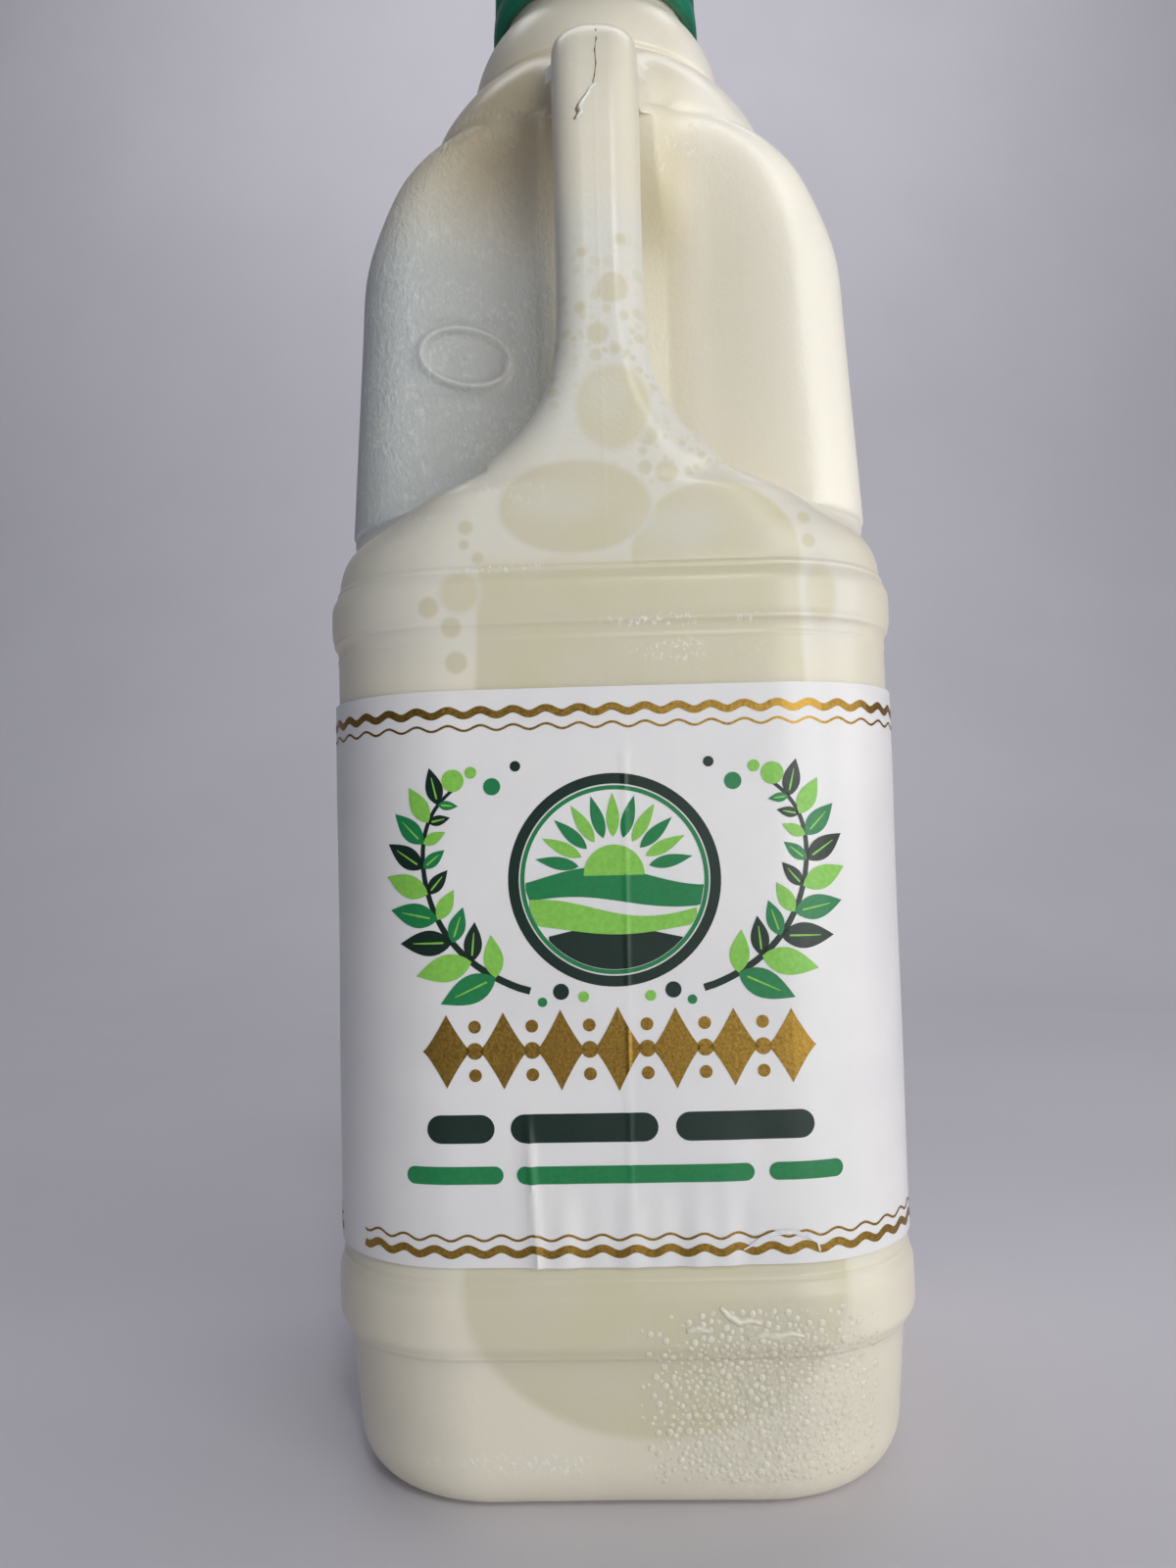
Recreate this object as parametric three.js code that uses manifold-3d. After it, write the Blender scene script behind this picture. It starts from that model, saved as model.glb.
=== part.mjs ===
// A full two-litre plastic milk jug, standing on its base: a blow-moulded bottle with a hollow grip,
// the milk inside it, a wrap-round label and a ribbed screw cap with a tamper ring.
// Millimetres, +Z up, origin in the middle of the base. The grip faces -Y, and +X is to its viewer's right.
import * as THREE from "three";
import { mergeVertices } from "three/addons/utils/BufferGeometryUtils.js";
import Module from "manifold-3d";

// Driving dimensions
const HALF_WIDTH = 46.2; // of the label panel, in X
const HALF_DEPTH = 51.7; // of the label panel, in Y
const CORNER = 22; // plan radius of the body's four corners
const FACE_CROWN = 0.8; // how far each flat face bows out
const WALL = 1.1; // plastic
const FIT_GAP = 0.3; // between pieces that touch in the real jug

// The lower body, from the floor up
const BASE_ROUND = 9; // bottom edge, in height
const BASE_PUSH_UP = 3.5; // hollow under the base
const FOOT_INSET = 8; // from the side of the body to the foot's outer edge
const FOOT_WIDTH = 5;
const SKIRT_INSET = 0.9; // the part below the lower band, from the label panel
const BAND_RISE = 0.85;
const LOWER_BAND = [23.2, 36.4]; // height range
const UPPER_BAND = [132.6, 143.6];
const BAND_EDGE = 3.6; // height of a band's sloping edge
const SHOULDER_INSET = 0.35; // the part above the upper band
const LABEL = [38, 124.2]; // height range
const LABEL_THICKNESS = 0.35;

// The grip, and the lobe that it grows out of
const GRIP_FRONT = -51.9; // Y of its front face
const GRIP_HALF_WIDTH = 7;
const GRIP_DEPTH = 15.5;
const GRIP_ROUND = 4.5;
const GRIP_RUN = 0.8; // how much wider the grip is at its back than at its front edge, each side
const LOBE_START = 144; // where the lobe's top edge begins to round, at the sides
const LOBE_SIDE_ROUND = 12;
const LOBE_ROUND = 6;
const LOBE_RUN = 5; // height that the lobe's top gains on the way to the recess wall
const LOBE_EDGE = [ // outline of the lobe and the grip above the upper band: height, half-width
  [138, 98], [144, 74], [148, 57], [151.4, 43.6], [152.6, 40.2], [154.6, 34.9], [156, 31.2], [156.9, 28.1],
  [157.8, 25.1], [159, 22], [160.9, 18.9], [163, 16.1], [165, 13.9], [168.4, 11.1], [173, 8.8], [178.5, 7.5],
  [185, GRIP_HALF_WIDTH],
];
const GRIP_TOP = [ // the front face bending back to the shoulder: height, Y
  [216, GRIP_FRONT], [222.5, -51.5], [228, -50], [231.8, -47.8], [234.3, -45.2], [236.2, -42],
  [237.6, -38.6], [238.7, -35.2], [239.8, -31.6], [242, -27],
];
const HOLE = [165.5, 227]; // height range of the finger hole
const HOLE_POWER = 3.2; // how square the hole's rounded ends are
const TUNNEL_SAG = 0.6; // of the finger hole's floor and roof, between the sides
const FILLET = 5; // where the lobe and the grip's root meet the recess wall

// The recessed upper body
const UPPER_HALF_WIDTH = 46.2; // at the foot of the dome
const UPPER_TAPER = 0.059; // how much wider it gets for each millimetre below that
const RECESS_WALL = [ // the recess wall at the sides: height, Y
  [195, -23], [212, -24], [224, -27], [233, -30], [241, -30.6],
];
const SCOOP = 10; // how much deeper the wall is behind the grip
const SCOOP_FLAT = 12; // half-width of the deepest part
const RECESS_CORNER = 10;
const BACK_DEPTH = HALF_DEPTH - UPPER_HALF_WIDTH;
const HOLLOW_CLEARANCE = 1.2; // the coarser hollow stays this much further behind the scoop

// The shoulder: three stacked domes, each an oval of [centre height, semi-height, semi-width, power]
const LOWER_DOME = [205, 43.8, 44.7, 1.54];
const UPPER_DOME = [234, 18, 31.35, 2];
const COLLAR = [245.1, 22.5, 24.85, 2];
const NOTCH = 229.9; // height of the crease between the lower and the upper dome
const NOTCH_DEPTH = 0.5;
const CREASE = 245.6; // height of the crease between the upper dome and the collar
const ROUND_ABOVE = 241; // the plan is a circle from here up

// Neck and cap
const NECK_RADIUS = 18.2;
const NECK_BORE = 15.9;
const NECK_START = 261.1;
const NECK_TOP = 274.8;
const CAP_RADIUS = 20.5;
const CAP_BOTTOM = 261.4;
const CAP_TOP = 277.5;
const CAP_BORE = NECK_RADIUS + 0.4;
const RING_TOP = 265.7; // tamper ring
const RING_GROOVE = 0.7;
const RIBS = 27;
const RIB_DEPTH = 0.55;

const MILK_LEVEL = 247;

const clamp01 = (t) => Math.min(1, Math.max(0, t));
const smooth = (a, b, v) => {
  const t = clamp01((v - a) / (b - a));
  return t * t * (3 - 2 * t);
};
const mix = (a, b, t) => a + (b - a) * t;

// The value at v of a smooth curve through [v, value] pairs, level beyond its ends.
function curveThrough(pairs, v) {
  if (v <= pairs[0][0]) return pairs[0][1];
  const last = pairs.length - 1;
  if (v >= pairs[last][0]) return pairs[last][1];
  const i = pairs.findIndex((p) => p[0] > v) - 1;
  const slope = (k) => {
    const a = pairs[Math.max(0, k - 1)];
    const b = pairs[Math.min(last, k + 1)];
    return (b[1] - a[1]) / (b[0] - a[0]);
  };
  const [x0, y0] = pairs[i];
  const [x1, y1] = pairs[i + 1];
  const h = x1 - x0;
  const t = (v - x0) / h;
  const t2 = t * t;
  const t3 = t2 * t;
  return (2 * t3 - 3 * t2 + 1) * y0 + (t3 - 2 * t2 + t) * h * slope(i)
    + (3 * t2 - 2 * t3) * y1 + (t3 - t2) * h * slope(i + 1);
}

const ovalAt = ([centre, height, width, power], z) => {
  const t = Math.max(0, z - centre) / height;
  return width * Math.max(0, 1 - t ** power) ** (1 / power);
};

// How far the lower body stands out from the label panel at height z.
function rise(z, plain) {
  const skirt = -SKIRT_INSET * (1 - smooth(LOWER_BAND[0] - 2, LOWER_BAND[0] + BAND_EDGE, z))
    - 0.9 * (1 - smooth(6, LOWER_BAND[0], z));
  const shoulder = -SHOULDER_INSET * smooth(UPPER_BAND[1] - BAND_EDGE, UPPER_BAND[1] + 2, z);
  const band = ([low, high]) => BAND_RISE
    * smooth(low, low + BAND_EDGE, z) * (1 - smooth(high - BAND_EDGE, high, z));
  return skirt + shoulder + (plain ? 0 : band(LOWER_BAND) + band(UPPER_BAND));
}

const domeRadius = (z) => {
  if (z > CREASE) return Math.max(ovalAt(COLLAR, z), NECK_RADIUS + 0.1);
  const notch = NOTCH_DEPTH * Math.max(0, 1 - Math.abs(z - NOTCH) / 1.6);
  if (z > NOTCH) return ovalAt(UPPER_DOME, z) - notch;
  return ovalAt(LOWER_DOME, z) + UPPER_TAPER * Math.max(0, LOWER_DOME[0] - z) - notch;
};

// The sizes of the plan at height z. Above the upper band the body is a recessed plan, and the lobe or
// the grip stands out in front of it.
function plan(z, plain) {
  const low = rise(z, plain);
  const dome = domeRadius(z);
  const upper = smooth(LOBE_START, LOBE_START + 12, z);
  const sideRound = Math.min(LOBE_SIDE_ROUND, Math.max(0, z - LOBE_START));
  const lobeHalf = curveThrough(LOBE_EDGE, z);
  const slant = curveThrough(LOBE_EDGE, z + 0.5) - curveThrough(LOBE_EDGE, z - 0.5);
  const onLobe = smooth(9, 26, lobeHalf);
  const clearance = plain ? HOLLOW_CLEARANCE : 0;
  return {
    halfWidth: mix(HALF_WIDTH + low, dome, upper),
    back: mix(HALF_DEPTH + low, dome + BACK_DEPTH, upper),
    frontCircle: smooth(221, ROUND_ABOVE, z),
    backCircle: smooth(204, ROUND_ABOVE - 1, z),
    even: smooth(243, NECK_START, z),
    lobeFront: -(HALF_DEPTH + low),
    lobeWidth: HALF_WIDTH + low - Math.min(4, LOBE_SIDE_ROUND
      - Math.sqrt(LOBE_SIDE_ROUND ** 2 - sideRound ** 2)),
    gripFront: curveThrough(GRIP_TOP, z),
    wall: curveThrough(RECESS_WALL, z) + clearance * 0.8,
    scoop: (SCOOP + clearance / 2) * (1 - smooth(203, 237, z)),
    crown: FACE_CROWN * (1 - smooth(200, ROUND_ABOVE, z)),
    lobeHalf,
    stretch: Math.hypot(1, slant), // the slanting edge is this much wider in a level plan
    round: mix(GRIP_ROUND, LOBE_ROUND, onLobe),
    run: mix(GRIP_RUN, LOBE_RUN, onLobe),
    rootFillet: plain ? 0 : 0.2,
    hole: plain ? [HOLE[0] - 1.5, HOLE[1] + 1.5] : HOLE,
  };
}

// Y of a front face with rounded corners: flat, with a slight bow, then a quarter circle to the side.
function frontLine(x, face, corner, half, crown) {
  const past = x - (half - corner);
  const bow = crown * (1 - clamp01(x / half) ** 2);
  if (past <= 0) return face - bow;
  return face - bow + corner - Math.sqrt(Math.max(0, corner * corner - Math.min(past, corner) ** 2));
}

// How far back the surface has gone, out of depth, at distance d outside the edge of the lobe or grip:
// a rounded edge, a steep side and a fillet.
function dropAt(d, depth, round, run) {
  const roundY = Math.min(round, 0.42 * depth);
  const filletY = Math.min(FILLET, 0.42 * depth);
  if (d <= -round) return 0;
  if (d < 0) return roundY * (1 - Math.sqrt(1 - ((d + round) / round) ** 2));
  if (d < run) return mix(roundY, depth - filletY, d / run);
  const t = Math.min(1, (d - run) / FILLET);
  return depth - filletY + filletY * Math.sqrt(1 - (1 - t) ** 2);
}

// How many steps each stretch of half the plan takes, from the front's middle to the back's middle.
const FINE = { lobe: 2, edge: [30, 62, 90], wall: 3, corner: 4, side: 1, backCorner: 4, back: 2 };
const COARSE = { lobe: 2, edge: [45, 90], wall: 2, corner: 3, side: 1, backCorner: 3, back: 2 };

// The front half of the plan at height z, from the middle to the side, as [x, y] points.
function frontPoints(z, p, steps) {
  const scooped = (x) => p.scoop * (1 - smooth(SCOOP_FLAT, p.halfWidth - RECESS_CORNER * 0.8, x));
  const wallY = (x) => mix(
    frontLine(x, p.wall, RECESS_CORNER, p.halfWidth, 0) + scooped(x),
    -Math.sqrt(Math.max(0, p.halfWidth ** 2 - x * x)),
    p.frontCircle,
  );
  const lobeX = (x) => x - (p.halfWidth - p.lobeWidth) * smooth(20, p.halfWidth, x);
  const lobeY = (x) => (p.lobeHalf > 14
    ? frontLine(lobeX(x), p.lobeFront, CORNER, p.lobeWidth, p.crown)
    : Math.max(p.gripFront, p.lobeFront - p.crown));
  const depthAt = (x) => Math.max(0.001, wallY(x) - lobeY(x));
  // Columns that follow the edge of the lobe or grip
  const edgeStart = Math.max(2, Math.min(p.lobeHalf, 50) - p.round * Math.min(p.stretch, 2.5));
  const room = p.halfWidth - edgeStart;
  const widths = [p.round, p.run, FILLET].map((w) => w * p.stretch);
  const spread = Math.min(1, (0.62 * room) / (widths[0] + widths[1] + widths[2]));
  const [round, run, fillet] = widths.map((w) => w * spread);
  const xs = [];
  for (let i = 0; i <= steps.lobe; i++) xs.push((edgeStart * i) / steps.lobe);
  for (const degrees of steps.edge) xs.push(edgeStart + round * Math.sin((degrees * Math.PI) / 180));
  const gripBack = xs.length;
  // The grip's back edge bends towards the wall at both ends of the finger hole.
  const middle = (p.hole[0] + p.hole[1]) / 2;
  const along = Math.min(1, Math.abs(z - middle) / ((p.hole[1] - p.hole[0]) / 2));
  const open = Math.max(0, 1 - along ** HOLE_POWER) ** (1 / HOLE_POWER);
  const nearHole = smooth(p.hole[0] - 6, p.hole[0], z) * (1 - smooth(p.hole[1], p.hole[1] + 6, z));
  const pinch = nearHole * (1 - smooth(0.02, 0.5, open)); // 1 where the hole ends
  xs.push(edgeStart + round + run * 0.5, edgeStart + round + run);
  xs.push(edgeStart + round + run + fillet * mix(1, 0.5, pinch));
  const wallStart = xs[xs.length - 1];
  const cornerStart = Math.max(p.halfWidth - RECESS_CORNER, mix(wallStart, p.halfWidth, 0.2));
  for (let i = 1; i <= steps.wall; i++) xs.push(mix(wallStart, cornerStart, i / steps.wall));
  for (let i = 1; i <= steps.corner; i++) {
    xs.push(mix(cornerStart, p.halfWidth, Math.sin((i / steps.corner) * Math.PI * 0.5)));
  }
  // Below the lobe's edge the columns spread evenly over the plain front and its corner.
  const n = xs.length - 1;
  const flatSteps = Math.round(n * 0.3);
  const even = xs.map((_, i) => (i <= flatSteps
    ? ((p.halfWidth - CORNER) * i) / flatSteps
    : p.halfWidth - CORNER + CORNER * Math.sin((((i - flatSteps) / (n - flatSteps)) * Math.PI) / 2)));
  const featured = smooth(LOBE_START + 2, LOBE_START + 16, z);
  return xs.map((x, i) => {
    const at = mix(even[i], x, featured);
    const depth = depthAt(at);
    const distance = (at - p.lobeHalf) / p.stretch;
    let share = dropAt(distance, depth, p.round, p.run) / depth;
    const beforeFillet = 1 - Math.min(FILLET, 0.42 * depth) / depth;
    if (i === gripBack) share = mix(share, mix(0.86 * beforeFillet, GRIP_DEPTH / depth, open), nearHole);
    const rootShare = 1 - p.rootFillet * pinch;
    if (i === gripBack + 1) {
      const behindGrip = Math.min(Math.max(share, beforeFillet), rootShare - 0.12 * p.rootFillet * pinch);
      share = mix(share, behindGrip, nearHole);
    }
    if (i === gripBack + 2) share = mix(share, rootShare, nearHole);
    return [mix(lobeX(at), at, share), mix(Math.min(lobeY(at), wallY(at)), wallY(at), share)];
  });
}

// Half of the plan at height z, as [x, y, z] points with x from 0 at the front round to 0 at the back.
function halfPlan(z, steps, plain) {
  const p = plan(z, plain);
  const front = frontPoints(z, p, steps);
  const [sideX, sideY] = front[front.length - 1];
  const corner = Math.min(CORNER + 2, 0.9 * sideX);
  const sideEnd = p.back - corner;
  const rear = [];
  for (let i = 1; i <= steps.side; i++) rear.push([sideX, mix(sideY, sideEnd, i / steps.side)]);
  for (let i = 1; i <= steps.backCorner; i++) {
    const a = ((i / steps.backCorner) * Math.PI) / 2;
    rear.push([sideX - corner * (1 - Math.cos(a)), sideEnd + corner * Math.sin(a)]);
  }
  const backStart = rear[rear.length - 1][0];
  for (let i = 1; i <= steps.back; i++) rear.push([mix(backStart, 0, i / steps.back), p.back]);
  const radius = p.halfWidth;
  const rounded = rear.map(([x, y]) => {
    const a = Math.atan2(x, -y);
    return [mix(x, radius * Math.sin(a), p.backCircle), mix(y, -radius * Math.cos(a), p.backCircle)];
  });
  const points = front.concat(rounded);
  const total = points.length - 1;
  return points.map(([x, y], i) => {
    const a = mix(Math.atan2(x, -y), (Math.PI * i) / total, p.even);
    const onCircle = p.even > 0 ? [radius * Math.sin(a), -radius * Math.cos(a)] : [x, y];
    return [i === 0 || i === total ? 0 : onCircle[0], onCircle[1], z];
  });
}

// A ring moved in towards the Z axis and put at another height, for the base.
const insetRing = (ring, inset, z) => ring.map(([x, y]) => {
  const shrink = 1 - inset / Math.hypot(x, y);
  return [x * shrink, y * shrink, z];
});

const circleRing = (count, radius, z) => Array.from({ length: count + 1 }, (_, i) => {
  const a = (Math.PI * i) / count;
  return [i === 0 || i === count ? 0 : radius * Math.sin(a), -radius * Math.cos(a), z];
});

// The rows of the bottle's outside, from the middle of the base to the top of the neck.
function bottleRows(steps, heights, plain, roundSteps) {
  const side = halfPlan(BASE_ROUND, steps, plain);
  const rows = [
    insetRing(side, 40, BASE_PUSH_UP),
    insetRing(side, FOOT_INSET + FOOT_WIDTH + 5, BASE_PUSH_UP * 0.8),
    insetRing(side, FOOT_INSET + FOOT_WIDTH, 0),
    insetRing(side, FOOT_INSET, 0),
  ];
  for (let i = 1; i < roundSteps; i++) {
    const a = ((i / roundSteps) * Math.PI) / 2;
    rows.push(insetRing(side, FOOT_INSET * (1 - Math.sin(a)), BASE_ROUND * (1 - Math.cos(a))));
  }
  return rows.concat([side], heights.map((z) => halfPlan(z, steps, plain)));
}

// A closed body from rows of half-rings: the other half is their mirror image, and both ends are
// closed with a fan. Where hole gives [first row, last row, first column, last column], the sides
// open there, and the two openings are joined by a tunnel of tunnelSteps strips.
function bodyFromRows(rows, hole, tunnelSteps) {
  const positions = [];
  const triangles = [];
  const columns = rows[0].length - 1;
  const around = 2 * columns;
  const at = (row, column) => row * around + ((column + around) % around);
  for (const ring of rows) {
    for (let i = 0; i <= columns; i++) positions.push(ring[i]);
    for (let i = columns - 1; i > 0; i--) positions.push([-ring[i][0], ring[i][1], ring[i][2]]);
  }
  const quad = (a, b, c, d) => {
    const [pa, pb, pc, pd] = [a, b, c, d].map((k) => new THREE.Vector3(...positions[k]));
    if (pa.distanceTo(pc) < pb.distanceTo(pd)) triangles.push([a, b, c], [a, c, d]);
    else triangles.push([a, b, d], [b, c, d]);
  };
  const inHole = (row, column) => {
    if (!hole) return false;
    const c = column < columns ? column : around - 1 - column;
    return row >= hole[0] && row < hole[1] && c >= hole[2] && c < hole[3];
  };
  for (let r = 0; r + 1 < rows.length; r++) {
    for (let c = 0; c < around; c++) {
      if (!inHole(r, c)) quad(at(r, c), at(r, c + 1), at(r + 1, c + 1), at(r + 1, c));
    }
  }
  if (hole) {
    const [r0, r1, c0, c1] = hole;
    const loop = [];
    for (let r = r0; r < r1; r++) loop.push([r, c0]);
    for (let c = c0; c < c1; c++) loop.push([r1, c]);
    for (let r = r1; r > r0; r--) loop.push([r, c1]);
    for (let c = c1; c > c0; c--) loop.push([r0, c]);
    const strips = loop.map(([r, c]) => {
      const [x, y, z] = positions[at(r, c)];
      const strip = [at(r, c)];
      for (let i = 1; i < tunnelSteps; i++) {
        const across = 1 - (2 * i) / tunnelSteps;
        const arch = 1 - across * across;
        const bulge = c === c0 && r > r0 && r < r1 ? 1.6 * arch : 0;
        const sag = r === r0 ? -TUNNEL_SAG * arch : r === r1 ? TUNNEL_SAG * arch : 0;
        strip.push(positions.push([x * across, y + bulge, z + sag]) - 1);
      }
      strip.push(at(r, -c));
      return strip;
    });
    strips.forEach((strip, k) => {
      const next = strips[(k + 1) % strips.length];
      for (let i = 0; i < tunnelSteps; i++) quad(strip[i], strip[i + 1], next[i + 1], next[i]);
    });
  }
  const fan = (row, upwards) => {
    const z = rows[row][0][2];
    const middle = positions.push([0, 0, z]) - 1;
    for (let c = 0; c < around; c++) {
      const pair = upwards ? [at(row, c), at(row, c + 1)] : [at(row, c + 1), at(row, c)];
      triangles.push([middle, ...pair]);
    }
  };
  fan(0, false);
  fan(rows.length - 1, true);
  const used = [...new Set(triangles.flat())];
  const renumber = new Map(used.map((v, i) => [v, i]));
  return { points: used.map((v) => positions[v]), triangles: triangles.map((t) => t.map((v) => renumber.get(v))) };
}

// The same body with its surface moved in by depth, along each vertex's normal.
function shrunk({ points, triangles }, depth) {
  const normals = points.map(() => new THREE.Vector3());
  const corner = points.map((p) => new THREE.Vector3(...p));
  for (const t of triangles) {
    t.forEach((v, i) => {
      const a = corner[v];
      const b = corner[t[(i + 1) % 3]].clone().sub(a);
      const c = corner[t[(i + 2) % 3]].clone().sub(a);
      const angle = b.angleTo(c);
      normals[v].addScaledVector(b.cross(c).normalize(), angle);
    });
  }
  return {
    points: points.map((p, i) => corner[i].addScaledVector(normals[i].normalize(), -depth).toArray()),
    triangles,
  };
}

function geometryOf({ points, triangles }) {
  const geometry = new THREE.BufferGeometry();
  geometry.setAttribute("position", new THREE.Float32BufferAttribute(points.flat(), 3));
  geometry.setIndex(triangles.flat());
  return geometry;
}

const wasm = await Module();
wasm.setup();

function solidFrom(geometry) {
  const bare = geometry.clone();
  bare.deleteAttribute("normal");
  bare.deleteAttribute("uv");
  const merged = mergeVertices(bare, 1e-4);
  return new wasm.Manifold(new wasm.Mesh({
    numProp: 3,
    vertProperties: new Float32Array(merged.attributes.position.array),
    triVerts: new Uint32Array(merged.index.array),
  }));
}

function geometryFrom(solid) {
  const mesh = solid.getMesh();
  const geometry = new THREE.BufferGeometry();
  const flat = new Float32Array(mesh.numVert * 3);
  for (let i = 0; i < mesh.numVert; i++) {
    flat.set(mesh.vertProperties.subarray(i * mesh.numProp, i * mesh.numProp + 3), i * 3);
  }
  geometry.setAttribute("position", new THREE.BufferAttribute(flat, 3));
  geometry.setIndex(new THREE.BufferAttribute(new Uint32Array(mesh.triVerts), 1));
  return geometry;
}

// A turned solid: a closed profile of [radius, height] points about Z.
function turned(profile, segments) {
  const points = profile.map(([r, z]) => new THREE.Vector2(r, z));
  const geometry = new THREE.LatheGeometry(points, segments);
  geometry.rotateX(Math.PI / 2);
  return geometry;
}

// Heights of the rows, denser where the outside changes.
const BANDS = [
  LOWER_BAND[0] - 2, LOWER_BAND[0], LOWER_BAND[0] + BAND_EDGE, LOWER_BAND[1] - BAND_EDGE, LOWER_BAND[1],
  UPPER_BAND[0], UPPER_BAND[0] + BAND_EDGE, UPPER_BAND[1] - BAND_EDGE, UPPER_BAND[1],
];
const LOBE_ROWS = [145.5, 148, 150.2, 152.2, 154, 155.6, 157.2, 158.8, 160.6, 162.4, 164];
const HOLE_ROWS = [HOLE[0], 167, 169.5, 173, 178, 186, 200, 212, 219, 223, 225.6, HOLE[1]];
const TOP_ROWS = [
  NOTCH - 1, NOTCH, NOTCH + 1, 233, 235, 236.6, 237.8, 239, 240.4, 242.2, 244, CREASE, CREASE + 0.2,
  249.5, 253.5, 257, 259.3, 261,
];
const COARSE_LOW = [22, 40, 90, 138, 144.5, 148.5, 151.5, 154.5, 157.2, 159.6, 161.8];
const COARSE_HOLE = [164, 166.5, 171, 178, 198, 214, 221, 225.5, 228.5];
const COARSE_TOP = [NOTCH + 0.6, 233.5, 237.5, 241, 243.8];

const firstHoleRow = (rows, z) => rows.findIndex((ring) => Math.abs(ring[0][2] - z) < 1e-6);

// Columns of the finger hole in a half-plan: from the grip's back edge to the end of the fillet.
const holeColumns = (steps) => {
  const first = steps.lobe + steps.edge.length + 1;
  return [first, first + 2];
};

function outside() {
  const rows = bottleRows(FINE, [...BANDS, ...LOBE_ROWS, ...HOLE_ROWS, ...TOP_ROWS], false, 4);
  const count = rows[0].length - 1;
  rows.push(circleRing(count, NECK_RADIUS, NECK_START), circleRing(count, NECK_RADIUS, NECK_TOP));
  const range = [firstHoleRow(rows, HOLE[0]), firstHoleRow(rows, HOLE[1])];
  return bodyFromRows(rows, [...range, ...holeColumns(FINE)], 4);
}

// The hollow, or the milk in it: the plain outside moved in, up to height top.
function filling(inset, top) {
  const heights = [...COARSE_LOW, ...COARSE_HOLE, ...COARSE_TOP];
  const rows = bottleRows(COARSE, heights, true, 3);
  const count = rows[0].length - 1;
  rows.push(...[CREASE, 249.5, 255.5, 259].filter((z) => z < top - 1)
    .map((z) => circleRing(count, domeRadius(Math.min(z, 260)), z)));
  const last = rows[rows.length - 1][0][2];
  const range = [firstHoleRow(rows, COARSE_HOLE[0]), firstHoleRow(rows, COARSE_HOLE[COARSE_HOLE.length - 1])];
  const body = shrunk(bodyFromRows(rows, [...range, ...holeColumns(COARSE)], 3), inset);
  return { body, last };
}

function makeBottle() {
  const shell = solidFrom(geometryOf(outside()));
  const hollow = solidFrom(geometryOf(filling(WALL, 300).body));
  const bore = solidFrom(turned([[0, 250], [NECK_BORE, 250], [NECK_BORE, NECK_TOP + 2], [0, NECK_TOP + 2]], 40));
  return shell.subtract(hollow.add(bore));
}

function makeMilk() {
  const full = solidFrom(geometryOf(filling(WALL + FIT_GAP, 300).body));
  const box = new THREE.BoxGeometry(200, 200, MILK_LEVEL);
  box.translate(0, 0, MILK_LEVEL / 2);
  return geometryFrom(full.intersect(solidFrom(box)).subtract(bottle));
}

function makeLabel() {
  const ring = (offset, z) => {
    const half = halfPlan(85, FINE, true);
    return half.map(([x, y]) => {
      const length = Math.hypot(x, y);
      return [x * (1 + offset / length), y * (1 + offset / length), z];
    });
  };
  const outer = [FIT_GAP + LABEL_THICKNESS, FIT_GAP + LABEL_THICKNESS, FIT_GAP, FIT_GAP];
  const heights = [LABEL[0], LABEL[1], LABEL[1], LABEL[0]];
  const rings = outer.map((offset, i) => ring(offset, heights[i]));
  const points = [];
  const triangles = [];
  const around = 2 * (rings[0].length - 1);
  for (const half of rings) {
    points.push(...half, ...half.slice(1, -1).reverse().map(([x, y, z]) => [-x, y, z]));
  }
  for (let r = 0; r < 4; r++) {
    for (let c = 0; c < around; c++) {
      const a = r * around + c;
      const b = r * around + ((c + 1) % around);
      const d = ((r + 1) % 4) * around + c;
      const e = ((r + 1) % 4) * around + ((c + 1) % around);
      triangles.push([a, b, e], [a, e, d]);
    }
  }
  return geometryOf({ points, triangles });
}

// The knurled skirt's plan, a circle with RIBS rounded teeth.
function ribbedShape(radius) {
  const shape = new THREE.Shape();
  for (let i = 0; i < RIBS; i++) {
    [[0, 0], [0.3, RIB_DEPTH], [0.7, RIB_DEPTH]].forEach(([turn, out], k) => {
      const a = ((i + turn) / RIBS) * 2 * Math.PI;
      const r = radius + out;
      if (i === 0 && k === 0) shape.moveTo(r * Math.cos(a), r * Math.sin(a));
      else shape.lineTo(r * Math.cos(a), r * Math.sin(a));
    });
  }
  shape.closePath();
  return shape;
}

function makeCap() {
  const skirt = CAP_RADIUS - 0.9;
  const body = solidFrom(turned([
    [CAP_BORE, CAP_BOTTOM], [CAP_RADIUS, CAP_BOTTOM], [CAP_RADIUS - 0.2, RING_TOP],
    [skirt - 0.5, RING_TOP], [skirt - 0.5, RING_TOP + RING_GROOVE], [skirt, RING_TOP + RING_GROOVE],
    [skirt - 0.3, CAP_TOP - 1.6], [skirt - 0.9, CAP_TOP - 0.5], [skirt - 2, CAP_TOP],
    [13.5, CAP_TOP], [13, CAP_TOP - 0.6], [0, CAP_TOP - 0.6],
    [0, NECK_TOP + 0.5], [CAP_BORE, NECK_TOP + 0.5], [CAP_BORE, CAP_BOTTOM],
  ], 64));
  const height = CAP_TOP - 1.9 - (RING_TOP + RING_GROOVE);
  const ribs = new THREE.ExtrudeGeometry(ribbedShape(skirt - 0.4), { depth: height, bevelEnabled: false });
  ribs.translate(0, 0, RING_TOP + RING_GROOVE);
  const hollow = new THREE.CylinderGeometry(CAP_BORE, CAP_BORE, height + 2, 64);
  hollow.rotateX(Math.PI / 2);
  hollow.translate(0, 0, RING_TOP + RING_GROOVE + height / 2);
  return geometryFrom(body.add(solidFrom(ribs).subtract(solidFrom(hollow))));
}

const material = (color, roughness) => new THREE.MeshStandardMaterial({ color, roughness, metalness: 0 });

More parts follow.
